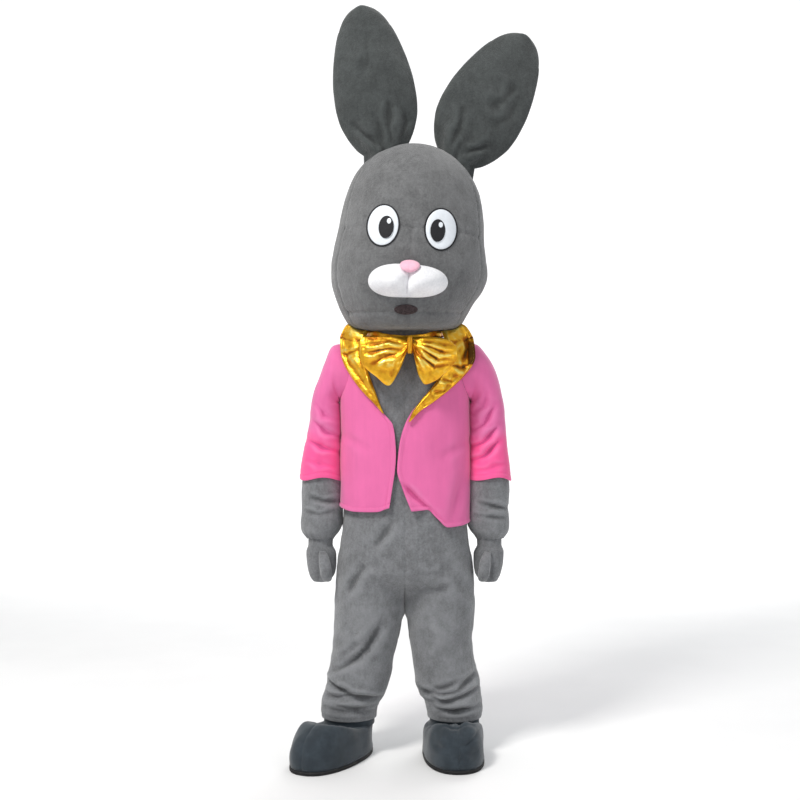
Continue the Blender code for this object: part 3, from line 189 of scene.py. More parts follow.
# The suit's own sleeve, from the wrist gather up into the jacket sleeve
SUIT_ARM = Table(
    "height inner outer_right outer_left half_depth",
    (0.69, 0.229, 0.318, 0.321, 0.047),
    (0.705, 0.221, 0.331, 0.333, 0.06),
    (0.73, 0.2175, 0.339, 0.34, 0.067),
    (0.79, 0.217, 0.335, 0.338, 0.068),
    (0.85, 0.2195, 0.336, 0.341, 0.067),
    (0.9, 0.224, 0.332, 0.3365, 0.064),
    (0.99, 0.2275, 0.319, 0.326, 0.062),
    (1.06, 0.2285, 0.306, 0.319, 0.061),
    (1.13, 0.229, 0.295, 0.313, 0.0625),
)
SLEEVE_INSET = 0.0082

# The mitten hangs from the wrist to the fingertips
MITTEN = Table(
    "height inner outer half_depth middle_y",
    (0.548, 0.264, 0.28, 0.012, -0.02),
    (0.556, 0.246, 0.296, 0.028, -0.02),
    (0.575, 0.234, 0.309, 0.038, -0.019),
    (0.61, 0.228, 0.317, 0.044, -0.015),
    (0.65, 0.229, 0.32, 0.045, -0.009),
    (0.672, 0.234, 0.314, 0.042, -0.002),
    (0.69, 0.2332, 0.3138, 0.0428, 0.0),
    (0.715, 0.24, 0.307, 0.038, 0.0),
)
MITTEN_TIP_DROP = 0.0045
THUMB_SEAT = 0.0021
THUMB = Table(
    "height middle_x radius",
    (0.558, 0.249, 0.006),
    (0.564, 0.249, 0.0135),
    (0.585, 0.251, 0.019),
    (0.615, 0.255, 0.019),
    (0.64, 0.26, 0.0155),
    (0.655, 0.264, 0.01),
)

# The jacket's front edges, away from the middle, and its hem by the sideways place
FRONT_EDGE = Table(
    "height right left",
    (0.8, 0.048, 0.019),
    (0.87, 0.038, -0.01),
    (0.92, 0.031, -0.0245),
    (0.97, 0.028, -0.021),
    (1.01, 0.03, -0.016),
    (1.06, 0.037, -0.002),
    (1.103, 0.068, 0.02),
    (1.13, 0.079, 0.042),
    (1.19, 0.101, 0.094),
    (1.25, 0.126, 0.128),
    (1.31, 0.14, 0.142),
)
FRONT_HEM = Table(
    "sideways height",
    (-0.23, 0.802),
    (-0.16, 0.787),
    (-0.09, 0.789),
    (-0.045, 0.802),
    (0.02, 0.792),
    (0.073, 0.796),
    (0.1, 0.77),
    (0.136, 0.739),
    (0.18, 0.741),
    (0.23, 0.752),
)
BACK_HEM = Table("sideways height", (-0.23, 0.802), (0.0, 0.775), (0.23, 0.752))

# The lapels lie on the jacket from the break at the bottom to the shoulder
LAPEL = Table(
    "row right_height right_in right_out left_height left_in left_out slant",
    (0, 1.098, 0.066, 0.07, 1.072, 0.01, 0.016, 0.0),
    (1, 1.128, 0.079, 0.096, 1.105, 0.024, 0.048, 0.0),
    (2, 1.165, 0.093, 0.133, 1.135, 0.046, 0.092, 0.0),
    (3, 1.205, 0.108, 0.165, 1.172, 0.078, 0.14, 0.0),
    (4, 1.245, 0.122, 0.19, 1.212, 0.108, 0.184, 0.003),
    (5, 1.28, 0.13, 0.206, 1.262, 0.126, 0.224, 0.01),
    (6, 1.306, 0.126, 0.208, 1.304, 0.126, 0.218, 0.022),
)

# The collar carries on from both lapels round the back of the neck, its outer edge standing up
COLLAR = Table(
    "angle in_height out_height rise",
    (45, 1.332, 1.31, 0.036),
    (70, 1.331, 1.314, 0.038),
    (90, 1.331, 1.318, 0.036),
    (115, 1.329, 1.311, 0.026),
    (145, 1.327, 1.29, 0.014),
    (180, 1.326, 1.282, 0.01),
)
COLLAR_END_IN = 47
COLLAR_END_OUT = 71
LAPEL_LIFT = {RIGHT: 0.0032, LEFT: 0.0042}
COLLAR_LIFT = 0.0033
LAPEL_RISE = 0.036
LAPEL_LAST_ROW = 6

# The head, ring by ring from the neck hole over the cheeks to the crown
HEAD = Table(
    "row height half_width half_depth middle_y roundness",
    (0, 1.36, 0.1209, 0.1059, 0.0, 0.87),
    (1, 1.364, 0.15, 0.15, -0.012, 0.88),
    (2, 1.38, 0.18, 0.19, -0.02, 0.9),
    (3, 1.412, 0.201, 0.218, -0.02, 0.92),
    (4, 1.46, 0.226, 0.238, -0.018, 0.92),
    (5, 1.51, 0.248, 0.249, -0.016, 0.92),
    (6, 1.56, 0.2555, 0.252, -0.014, 0.92),
    (7, 1.612, 0.249, 0.25, -0.012, 0.92),
    (8, 1.668, 0.239, 0.247, -0.008, 0.92),
    (9, 1.728, 0.231, 0.242, -0.004, 0.92),
    (10, 1.788, 0.22, 0.232, 0.0, 0.93),
    (11, 1.846, 0.201, 0.213, 0.004, 0.94),
    (12, 1.897, 0.168, 0.18, 0.006, 0.95),
    (13, 1.94, 0.117, 0.128, 0.008, 0.97),
    (14, 1.966, 0.052, 0.058, 0.009, 1.0),
    (15, 1.972, 0.0, 0.0, 0.01, 1.0),
)
CHIN_DROP = 0.014
CHIN_ROW = 2
CHEEK_ROW = 3
BROW_ROW = 8
CROWN_ROW = 15

# The ears before the head leans: root and tip as seen from the front, then the outline
EARS = {
    RIGHT: dict(root=(-0.108, 1.940), tip=(-0.218, 2.417), width=0.97),
    LEFT: dict(root=(0.126, 1.940), tip=(0.328, 2.358), width=1.02),
}
EAR = Table(
    "part half_width half_thickness",
    (0.0, 0.066, 0.03),
    (0.05, 0.09, 0.031),
    (0.15, 0.118, 0.03),
    (0.25, 0.134, 0.028),
    (0.35, 0.1385, 0.027),
    (0.45, 0.137, 0.025),
    (0.58, 0.128, 0.024),
    (0.7, 0.114, 0.022),
    (0.8, 0.0985, 0.02),
    (0.9, 0.0735, 0.016),
    (0.965, 0.044, 0.01),
    (1.0, 0.01, 0.006),
)
EAR_EDGE = 0.0015
EAR_BACK_SET = 0.020
EAR_CURL = 0.012
EAR_ARCH = 0.012
EAR_GATHERS = 2.5
EAR_GATHER_DEPTH = 0.009
EAR_GATHER_PART = 0.05
EAR_GATHER_REACH = 0.16

# The face pads on the head before it leans: places across and up, half sizes and how far they rise
PAD_EDGE = 0.0012
MUZZLE_CENTRE = (0.002, 1.502)
MUZZLE_HALF = (0.122, 0.064)
MUZZLE_RISE = 0.016
MUZZLE_BASE = 0.0009
PUFF_X = 0.062
PUFF_Z = 1.494
PUFF_REACH = (0.075, 0.062)
PUFF_RISE = 0.040
MOUTH_CENTRE = (0.002, 1.416)
MOUTH_HALF = (0.036, 0.015)
MOUTH_RISE = 0.003
MOUTH_BASE = 0.0006
EYE_X = 0.089
EYE_HEIGHT = 1.668
EYE_HALF = (0.047, 0.062)
EYE_RISE = 0.006
EYE_BASE = 0.0022
RIM_WIDTH = 0.005
RIM_BASE = 0.0004
PUPIL_X = 0.079
PUPIL_HEIGHT = 1.662
PUPIL_HALF = (0.023, 0.035)
PUPIL_RISE = 0.002
PUPIL_BASE = 0.0095
GLINT_ASIDE = 0.008
GLINT_HEIGHT = 1.680
GLINT_HALF = (0.0065, 0.0085)
GLINT_RISE = 0.001
GLINT_BASE = 0.0131
NOSE_CENTRE = (0.002, 1.545)
NOSE_HALF = (0.030, 0.020)
NOSE_RISE = 0.016
NOSE_SEAT = 0.0008

# The bow tie's loops, from the knot outwards
BOW = {
    RIGHT: Table(
        "sideways low high puff",
        (-0.0053, 1.288, 1.324, 0.012),
        (0.02, 1.226, 1.333, 0.017),
        (0.052, 1.184, 1.337, 0.019),
        (0.09, 1.212, 1.337, 0.017),
        (0.125, 1.241, 1.337, 0.012),
        (0.138, 1.262, 1.33, 0.006),
    ),
    LEFT: Table(
        "sideways low high puff",
        (0.0247, 1.288, 1.324, 0.012),
        (0.042, 1.214, 1.332, 0.018),
        (0.062, 1.188, 1.337, 0.021),
        (0.095, 1.2, 1.335, 0.02),
        (0.13, 1.23, 1.328, 0.014),
        (0.16, 1.262, 1.306, 0.006),
    ),
}
BOW_MIDDLE_X = 0.015
BOW_Y = -0.176
BOW_TILT = 0.13
BOW_TOP = 1.335
BOW_EDGE = 0.0012
BOW_PLEATS = 5
PLEAT_DEPTH = 0.0035
KNOT_HEIGHT = 1.3095
KNOT_HALF = (0.0105, 0.024, 0.0255)
KNOT_WAIST = 0.86
KNOT_SEAT = 0.0002
BAND_HALF_HEIGHT = 0.0085
BAND_LIFT = 0.0008
BAND_THICKNESS = 0.0016
BAND = Table("angle height", (0, 1.3355), (25, 1.341), (50, 1.3511), (180, 1.3511))

# The shoes: the middle of each and how far it turns out
SHOES = {
    RIGHT: dict(middle=(-0.231, -0.098), turn=27.0),
    LEFT: dict(middle=(0.153, -0.072), turn=4.0),
}
SHOE_HALF_LENGTH = 0.190
SHOE_HALF_WIDTH = 0.0955
SHOE_ROUNDNESS = 0.86
SHOE_ROWS = 8
UPPER = Table(
    "row reach toe_height heel_height",
    (0, 0.985, 0.012, 0.012),
    (1, 1.0, 0.04, 0.038),
    (2, 0.96, 0.08, 0.064),
    (3, 0.83, 0.116, 0.08),
    (4, 0.6, 0.137, 0.088),
    (5, 0.34, 0.122, 0.09),
    (6, 0.1, 0.097, 0.093),
    (7, 0.0, 0.097, 0.097),
    (8, 0.0, 0.119, 0.119),
)
ANKLE_CLEARANCE = 0.0005

# The sole's side, with a groove round it: heights and how far it reaches out there
SOLE_PROFILE = (
    (0.0, 0.975),
    (0.0008, 0.99),
    (0.003, 0.998),
    (0.005, 1.0),
    (0.0058, 0.992),
    (0.0066, 0.992),
    (0.0074, 1.0),
    (0.0108, 1.0),
    (0.0117, 0.994),
)

# Sizes that only the fine cloth has
LEGS_MEET = (0.42, 0.60)
LEGS_CLOSE = 0.012
SLEEVE_COLUMNS = 64
SLEEVE_TUCK = 0.0012
MITTEN_FULLER = 0.007
COLLAR_STAND = 0.017
# Where the lapel's corner by the left shoulder is painted darker, as painted shade
SHADED_CORNER_X = 0.196
SHADED_CORNER_HEIGHTS = (1.250, 1.330)
EAR_ROOT_SUNK = 0.008
EAR_ROUND_FROM = 0.84
EAR_TIP_TURN = 0.30
CREASE_STRENGTH = 2.0

# How far the rows of stitches lie from the edges that they hold
JACKET_STITCH = 0.013
SLEEVE_HEM = 0.016
GOLD_STITCH = 0.007
SHOE_STITCH = 0.007

# Largest folds: from one end to the other across the front view, with depth and half width
SUIT_FRONT_FOLDS = (
    (-0.236, 0.284, -0.15, 0.322, 0.01, 0.014),
    (-0.15, 0.322, -0.063, 0.427, 0.009, 0.014),
    (-0.254, 0.236, -0.178, 0.211, 0.01, 0.012),
    (-0.25, 0.195, -0.086, 0.184, 0.011, 0.012),
    (-0.257, 0.15, -0.092, 0.143, 0.008, 0.01),
    (0.054, 0.203, 0.231, 0.262, 0.01, 0.012),
    (0.11, 0.146, 0.244, 0.16, 0.009, 0.01),
    (0.06, 0.172, 0.15, 0.178, 0.007, 0.01),
    (-0.136, 0.614, -0.19, 0.522, 0.006, 0.014),
    (-0.038, 0.756, -0.105, 0.674, 0.005, 0.014),
    (0.15, 0.6, 0.196, 0.52, 0.005, 0.014),
)
SUIT_BACK_FOLDS = (
    (-0.23, 0.33, -0.09, 0.285, 0.009, 0.014),
    (-0.25, 0.215, -0.1, 0.232, 0.01, 0.012),
    (-0.25, 0.172, -0.11, 0.16, 0.009, 0.011),
    (0.06, 0.3, 0.2, 0.335, 0.008, 0.014),
    (0.06, 0.232, 0.235, 0.205, 0.01, 0.012),
    (0.08, 0.165, 0.235, 0.178, 0.009, 0.011),
    (-0.16, 0.56, -0.05, 0.6, 0.006, 0.016),
    (0.055, 0.595, 0.165, 0.55, 0.006, 0.016),
    (-0.12, 0.69, 0.1, 0.7, 0.005, 0.018),
)
JACKET_FRONT_FOLDS = (
    (-0.003, 0.867, 0.079, 0.8, 0.006, 0.014),
    (-0.205, 1.03, -0.12, 0.985, 0.004, 0.014),
    (0.205, 1.01, 0.12, 0.96, 0.004, 0.014),
    (0.19, 0.9, 0.15, 0.76, 0.005, 0.016),
)
JACKET_BACK_FOLDS = (
    (-0.19, 1.12, -0.08, 1.06, 0.005, 0.016),
    (0.19, 1.12, 0.08, 1.05, 0.005, 0.016),
    (-0.08, 1.0, -0.11, 0.8, 0.004, 0.018),
    (0.09, 0.98, 0.12, 0.79, 0.004, 0.018),
)
SLEEVE_FRONT_FOLDS = (
    (-0.31, 1.075, -0.222, 1.01, 0.005, 0.012),
    (-0.318, 1.01, -0.222, 0.97, 0.005, 0.012),
    (0.235, 0.945, 0.3, 1.005, 0.006, 0.012),
    (0.23, 0.99, 0.305, 1.06, 0.006, 0.012),
    (0.228, 1.05, 0.29, 1.125, 0.005, 0.012),
    (-0.3, 0.828, -0.225, 0.812, 0.005, 0.01),
    (0.255, 0.806, 0.34, 0.79, 0.005, 0.01),
)
SLEEVE_BACK_FOLDS = (
    (-0.31, 1.05, -0.222, 1.0, 0.005, 0.012),
    (-0.318, 0.96, -0.225, 0.985, 0.004, 0.012),
    (0.228, 1.0, 0.31, 1.04, 0.005, 0.012),
    (0.23, 0.955, 0.32, 0.965, 0.004, 0.012),
    (-0.31, 0.8, -0.23, 0.815, 0.005, 0.01),
    (0.235, 0.812, 0.32, 0.798, 0.005, 0.01),
)


def side_name(side):
    return "right" if side == RIGHT else "left"


def ease(value):
    """A soft step from 0 to 1."""
    value = np.clip(value, 0.0, 1.0)
    return value * value * (3 - 2 * value)


def unit(vectors):
    """The same directions, each of them one long."""
    return vectors / np.maximum(np.linalg.norm(vectors, axis=-1, keepdims=True), 1e-12)


def bend_power(value, power):
    return np.sign(value) * np.abs(value) ** power


def around(count):
    """Angles of a ring of points."""
    return np.linspace(0, 2 * math.pi, count, endpoint=False)


def grid_normals(surface, u, v, outward):
    """Directions straight out of a surface at each place of a grid, from its slopes."""
    step = 5e-4
    across = surface(u + step, v) - surface(u - step, v)
    along = surface(u, v + step) - surface(u, v - step)
    return unit(np.cross(across, along)) * outward


def fold_depth(x, z, folds):
    """How deep the listed folds press the cloth in, at places of the front view."""
    depth = np.zeros(np.broadcast(x, z).shape)
    for start_x, start_z, end_x, end_z, deep, width in folds:
        run_x, run_z = end_x - start_x, end_z - start_z
        length = math.hypot(run_x, run_z)
        part = ((x - start_x) * run_x + (z - start_z) * run_z) / length**2
        part = np.clip(part, 0, 1)
        away = np.hypot(x - start_x - part * run_x, z - start_z - part * run_z) / width
        taper = 0.45 + 0.55 * np.sin(math.pi * np.clip(part, 0.08, 0.92))
        depth += deep * taper * (1 - 0.45 * away**2) * np.exp(-0.5 * away**2)
    return depth


def armhole_width(height, armhole):
    """Half the armhole's depth from front to back at a height, and 0 above and below it."""
    low, high, half_depth = armhole
    part = (2 * height - low - high) / (high - low)
    return half_depth * np.sqrt(np.clip(1 - part**2, 0, 1))


def trunk_point(angle, height):
    """The trunk's outer face. angle is 0 at the middle of the front and grows to the left."""
    half_width = TRUNK.read("half_width", height)
    half_depth = TRUNK.read("half_depth", height)
    x = half_width * bend_power(np.sin(angle), ROUNDNESS)
    y = -half_depth * bend_power(np.cos(angle), ROUNDNESS)
    return np.stack(np.broadcast_arrays(x, y, height), axis=-1)


def side_angle(height, armhole):
    """The angle from the middle of the front to the side seam, or to the armhole's edge."""
    part = armhole_width(height, armhole) / TRUNK.read("half_depth", height)
    return np.arccos(np.clip(part, 0, 1) ** (1 / ROUNDNESS))


def suit_surface(side, face):
    """The outer face of one quarter of the suit: across 0 is the middle or inside-leg seam, 1 the
    side seam, and height is above the floor."""
    name = side_name(side)

    def surface(across, height):
        angle = across * side_angle(height, SUIT_ARMHOLE)
        trunk = trunk_point(angle, height)
        turn = math.pi * across
        middle = LEGS.read(name + "_x", height)
        half = LEGS.read(name + "_half", height)
        leg_x = middle - half * np.cos(turn)
        leg_y = -LEGS.read("half_depth", height) * np.sin(turn)
        legs = 1 - ease((height - CROTCH_LOW) / (CROTCH_HIGH - CROTCH_LOW))
        x = (1 - legs) * trunk[..., 0] + legs * leg_x
        y = (1 - legs) * trunk[..., 1] + legs * leg_y
        return np.stack([side * x, -face * y, trunk[..., 2]], axis=-1)

    return surface


def grid_of(across, heights):
    return np.meshgrid(np.asarray(across, float), np.asarray(heights, float))


def tube_normals(rings):
    """Directions out of a tube of rings, from the neighbours of each point."""
    across = np.roll(rings, -1, axis=1) - np.roll(rings, 1, axis=1)
    normals = unit(np.cross(across, np.gradient(rings, axis=0)))
    out = rings - rings.mean(axis=1, keepdims=True)
    facing = np.sign((normals * out).sum(axis=(1, 2)))
    return normals * facing[:, None, None]


def jacket_point(angle, height):
    """A point of the jacket's outer face, moved straight out of the trunk."""
    points = trunk_point(angle, height)
    normals = grid_normals(trunk_point, angle, height, 1.0)
    return points + normals * JACKET_EASE


def hem_height(height, sideways, hem):
    """Lets the lowest stretch of the jacket down to its hem."""
    drop = JACKET_HEM - hem.read("height", sideways)
    share = np.clip((JACKET_HEM_ZONE + 0.08 - height) / (JACKET_HEM_ZONE + 0.08 - JACKET_HEM), 0, 1)
    return height - drop * share


def jacket_front_surface(side):
    """across runs from the front edge to the side seam."""
    name = side_name(side)

    def surface(across, height):
        edge = FRONT_EDGE.read(name, height)
        half = TRUNK.read("half_width", height)
        edge = np.minimum(edge, half - 0.022)
        start = np.arcsin(bend_power(edge / half, 1 / ROUNDNESS))
        angle = start + across * (side_angle(height, JACKET_ARMHOLE) - start)
        points = jacket_point(angle, height)
        points[..., 0] *= side
        points[..., 2] = hem_height(points[..., 2], points[..., 0], FRONT_HEM)
        return points

    return surface


def jacket_back_surface(across, height):
    """across runs from -1 at the right side seam to 1 at the left one."""
    angle = math.pi - across * side_angle(height, JACKET_ARMHOLE)
    points = jacket_point(angle, height)
    points[..., 2] = hem_height(points[..., 2], points[..., 0], BACK_HEM)
    return points


def jacket_front_y(x, z):
    """How far forward the worn jacket reaches at a place of the front view, sleeves included."""
    x = np.abs(x)
    under = z - 0.010 * ease((z - 1.27) / 0.05)
    half_width = TRUNK.read("half_width", under) + JACKET_EASE
    half_depth = TRUNK.read("half_depth", under) + JACKET_EASE
    part = np.clip(1 - np.clip(x / half_width, 0, 1) ** (2 / ROUNDNESS), 0, 1)
    body = half_depth * part ** (ROUNDNESS / 2)
    low, high, half_hole = JACKET_ARMHOLE
    place = (z - (low + high) / 2 - 0.004) / ((high - low) / 2 + 0.010)
    sleeve = (half_hole + 0.009) * np.sqrt(np.clip(1 - place**2, 0, 1))
    soft = 0.010
    return -np.logaddexp(body / soft, sleeve / soft) * soft


def lapel_surface(side):
    """across runs from the inner edge to the outer, row from the break up to the shoulder."""
    name = side_name(side)

    def surface(across, row):
        near = LAPEL.read(name + "_in", row)
        far = LAPEL.read(name + "_out", row)
        height = LAPEL.read(name + "_height", row) + LAPEL.read("slant", row) * (1 - across)
        x = near + (far - near) * across
        y = jacket_front_y(x, height) - LAPEL_LIFT[side]
        rise = LAPEL_RISE * ease((row - 4) / 2) * across**2
        return np.stack([side * x, y, height + rise], axis=-1)

    return surface


def collar_surface(across, part):
    """across runs from the neck to the outer edge, part from the right shoulder to the left."""
    end = COLLAR_END_IN + (COLLAR_END_OUT - COLLAR_END_IN) * across
    from_front = 180 - np.abs(part) * (180 - end)
    angle = np.where(part < 0, 2 * math.pi - np.radians(from_front), np.radians(from_front))
    top = COLLAR.read("in_height", from_front)
    low = COLLAR.read("out_height", from_front)
    height = top + (low - top) * across
    points = trunk_point(angle, height)
    normals = grid_normals(trunk_point, angle, height, 1.0)
    points = points + normals * (JACKET_EASE + COLLAR_LIFT)
    points[..., 2] += COLLAR.read("rise", from_front) * across**2
    return points


def head_ring_point(angle, row):
    """The head's outer face before it leans. angle is 0 at the face and grows to the left."""
    half_width = HEAD.read("half_width", row)
    half_depth = HEAD.read("half_depth", row)
    roundness = HEAD.read("roundness", row)
    x = half_width * bend_power(np.sin(angle), roundness)
    y = HEAD.read("middle_y", row) - half_depth * bend_power(np.cos(angle), roundness)
    z = HEAD.read("height", row) - chin_drop(angle, row)
    return np.stack(np.broadcast_arrays(x, y, z), axis=-1)


def chin_drop(angle, row):
    """How much lower the head hangs in front, at the chin."""
    front = np.clip(np.cos(angle), 0, 1) ** 2
    return CHIN_DROP * front * np.exp(-(((row - CHIN_ROW) / 0.9) ** 2))


def lean(points):
    """Tips the head and what is on it to the left, more and more from the neck up."""
    x, y, z = points[..., 0], points[..., 1], points[..., 2]
    turn = HEAD_ROLL * ease((z - HEAD_ROLL_START) / (HEAD_ROLL_END - HEAD_ROLL_START))
    up = z - HEAD_PIVOT
    new_x = x * np.cos(turn) + up * np.sin(turn)
    new_z = HEAD_PIVOT + up * np.cos(turn) - x * np.sin(turn)
    return np.stack([new_x, y, new_z], axis=-1)


def face_y(x, z):
    """How far forward the head's face is at a place of its front view, by halving the rows."""
    low, high = np.full(np.shape(x), 1.5), np.full(np.shape(x), 12.0)
    for _ in range(24):
        row = (low + high) / 2
        roundness = HEAD.read("roundness", row)
        part = np.clip(np.abs(x) / HEAD.read("half_width", row), 0, 1)
        angle = np.arcsin(part ** (1 / roundness))
        above = HEAD.read("height", row) - chin_drop(angle, row) > z
        high = np.where(above, row, high)
        low = np.where(above, low, row)
    return HEAD.read("middle_y", row) - HEAD.read("half_depth", row) * np.cos(angle) ** roundness


def dome(reach):
    """A rounded rise from 0 at a pad's edge to 1 in its middle."""
    return np.sqrt(np.clip(1 - reach**2, 0, 1))


def muzzle_outline(turn):
    """Two rounded puffs side by side, a little pinched above and below the middle."""
    return 1.0 - 0.17 * np.cos(turn) ** 4 - 0.05 * np.cos(turn) ** 2


def muzzle_bulge(x, z, reach):
    """Each puff swells forward, and the dip between them stays low."""
    swell = 0.0
    for side in SIDES:
        away = ((x - side * PUFF_X) / PUFF_REACH[0]) ** 2 + ((z - PUFF_Z) / PUFF_REACH[1]) ** 2
        swell = np.maximum(swell, np.exp(-away))
    return PUFF_RISE * swell * dome(reach)


def crown_height(x, y):
    """The height of the head's top over a place, by halving the range of rows."""
    low, high = np.full(np.shape(x), 8.0), np.full(np.shape(x), float(CROWN_ROW))
    for _ in range(30):
        row = (low + high) / 2
        wide = np.maximum(HEAD.read("half_width", row), 1e-6)
        deep = np.maximum(HEAD.read("half_depth", row), 1e-6)
        power = 2 / HEAD.read("roundness", row)
        inside = (np.abs(x) / wide) ** power + (np.abs(y - HEAD.read("middle_y", row)) / deep) ** power
        low = np.where(inside < 1, row, low)
        high = np.where(inside < 1, high, row)
    return HEAD.read("height", (low + high) / 2)


def ear_middle(across, part):
    """How far back the ear's middle sheet stands: a shallow scoop, arched forward half way up."""
    return EAR_BACK_SET + EAR_CURL * across**2 - EAR_ARCH * np.sin(math.pi * part) ** 2


def ear_surface(side, face):
    """across runs from -1 to 1 over the ear's width, part from the root to the tip."""
    ear = EARS[side]
    root, tip = np.array(ear["root"]), np.array(ear["tip"])
    length = np.linalg.norm(tip - root)
    way = (tip - root) / length
    side_way = np.array([way[1], -way[0]])

    def surface(across, part):
        wide = EAR.read("half_width", part) * ear["width"]
        flat = root + way * (part * length)[..., None] + side_way * (across * wide)[..., None]
        swell = EAR_EDGE + EAR.read("half_thickness", part) * dome(across)
        gather = np.exp(-(((part - EAR_GATHER_PART) / EAR_GATHER_REACH) ** 2))
        groove = np.clip(np.cos(across * EAR_GATHERS * math.pi), 0, 1)
        swell = swell - EAR_GATHER_DEPTH * gather * groove
        y = ear_middle(across, part) + face * swell
        return np.stack([flat[..., 0], y, flat[..., 1]], axis=-1)

    return surface


def bow_middle_y(height):
    return BOW_Y - BOW_TILT * (BOW_TOP - height)


def band_surface(across, turn):
    """The neckband's outer face and the directions out of it. across runs from -1 to 1 upwards."""
    from_front = np.degrees(np.abs((turn + math.pi) % (2 * math.pi) - math.pi))
    height = BAND.read("height", from_front) + across * BAND_HALF_HEIGHT
    points = trunk_point(turn, height)
    normals = grid_normals(trunk_point, turn, height, 1.0)
    return points + normals * (BAND_LIFT + BAND_THICKNESS), normals


def shoe_frame(side):
    """A shoe's middle in plan, the way to its toe and the way across it."""
    shoe = SHOES[side]
    turn = math.radians(shoe["turn"])
    way = np.array([side * math.sin(turn), -math.cos(turn)])
    across = np.array([-way[1], way[0]])
    return np.array(shoe["middle"]), way, across


def sole_outline(side, turn, inset=0.0):
    """The sole's edge in plan. turn is 0 at the toe and grows to the wearer's left."""
    middle, way, across = shoe_frame(side)
    along = (SHOE_HALF_LENGTH - inset) * bend_power(np.cos(turn), SHOE_ROUNDNESS)
    beside = (SHOE_HALF_WIDTH - inset) * bend_power(np.sin(turn), SHOE_ROUNDNESS)
    return middle + along[..., None] * way + beside[..., None] * across


def ankle_ring(side, turn, inset=0.0):
    """The shoe's ankle opening in plan: just inside the flat faces of the trouser hem's wall."""
    _, way, _ = shoe_frame(side)
    name = side_name(side)
    flat = math.cos(math.pi / SUIT_COLUMNS / 2)
    x_middle = side * LEGS.read(name + "_x", HEM_HEIGHT)
    half = (LEGS.read(name + "_half", HEM_HEIGHT) - PLUSH) * flat - ANKLE_CLEARANCE - inset
    deep = (LEGS.read("half_depth", HEM_HEIGHT) - PLUSH) * flat - ANKLE_CLEARANCE - inset
    angle = turn + math.atan2(way[0], -way[1])
    return np.stack([x_middle + half * np.sin(angle), -deep * np.cos(angle)], axis=-1)


def shoe_surface(side, turn, row, inset):
    """The upper's outer face, or with an inset the face inside its wall."""
    outline = sole_outline(side, turn, inset)
    ankle = ankle_ring(side, turn, inset)
    plan = ankle + (outline - ankle) * UPPER.read("reach", row)[..., None]
    toe = ease((np.cos(turn) + 0.1) / 1.1)
    height = UPPER.read("toe_height", row) * toe + UPPER.read("heel_height", row) * (1 - toe)
    height = height - inset * ease(row) * ease(SHOE_ROWS - row)
    return np.concatenate([plan, height[..., None]], axis=-1)


def armhole_heights(armhole, steps):
    """Heights from an armhole's lowest point to its highest, closer together at both."""
    low, high, _ = armhole
    turn = np.linspace(0, math.pi, steps + 1)
    return (low + high) / 2 - (high - low) / 2 * np.cos(turn)


def crease_depth(x, z, creases):
    """How deep the listed creases press the cloth in, at places of the front view. Each is a
    depth, a half width and the points that it runs through. One side of it is lifted a little."""
    depth = np.zeros(np.broadcast(x, z).shape)
    for deep, width, *route in creases:
        route = np.array(route)
        runs = np.diff(route, axis=0)
        lengths = np.hypot(runs[:, 0], runs[:, 1])
        nearest = np.full(depth.shape, 9.0)
        side = np.ones(depth.shape)
        place = np.zeros(depth.shape)
        begun = 0.0
        for (start_x, start_z), (run_x, run_z), length in zip(route, runs, lengths):
            part = ((x - start_x) * run_x + (z - start_z) * run_z) / length**2
            part = np.clip(part, 0, 1)
            off_x = x - start_x - part * run_x
            off_z = z - start_z - part * run_z
            away = np.hypot(off_x, off_z)
            closer = away < nearest
            nearest = np.where(closer, away, nearest)
            side = np.where(closer, np.sign(run_x * off_z - run_z * off_x), side)
            place = np.where(closer, (begun + part * length) / lengths.sum(), place)
            begun += length
        uneven = 1 + 0.28 * np.sin(9 * place + 40 * route[0, 0])
        taper = np.sin(math.pi * place) ** 0.6
        across = nearest * side / (width * uneven)
        trough = np.exp(-0.5 * across**2)
        ridge = 0.5 * np.exp(-0.5 * ((across - 2.0) / 1.1) ** 2)
        depth += deep * taper * uneven * (trough - ridge)
    return depth


def sunk(points, normals, depth):
    return points - normals * np.asarray(depth)[..., None]


def pressed(points, normals, listed):
    """Presses folds and finer creases into points: the listed pair of the front where y is below 0,
    that of the back elsewhere."""
    x, y, z = points[..., 0], points[..., 1], points[..., 2]
    facing = ease(0.5 + y / 0.05)
    depth = 0.0
    for (folds, creases), share in zip(listed, (1 - facing, facing)):
        fine = CREASE_STRENGTH * crease_depth(x, z, creases)
        depth = depth + (fold_depth(x, z, folds) + fine) * share
    return sunk(points, normals, depth * ease((z - HEM_HEIGHT - 0.003) / 0.03))


def drift(points, length, seed):
    """An uneven swell between 0 and 1 over the cloth, from crossing waves about as long as length."""
    chance = np.random.default_rng(seed)
    total = 0.0
    for _ in range(6):
        way = chance.normal(size=3)
        way *= 2 * math.pi / (length * chance.uniform(0.7, 1.5) * np.linalg.norm(way))
        total = total + np.sin(points @ way + chance.uniform(0, 6.3))
    return ease(0.5 + total / 7)


def crumple(points, length, seed):
    """Sharp-edged facets between 0 and 1, as stiff metal cloth breaks into."""
    chance = np.random.default_rng(seed)
    total = 0.0
    for _ in range(5):
        way = chance.normal(size=3)
        way *= 1 / (length * chance.uniform(0.7, 1.5) * np.linalg.norm(way))
        wave = (points @ way + chance.uniform(0, 1)) % 1.0
        total = total + np.abs(2 * wave - 1)
    return total / 5


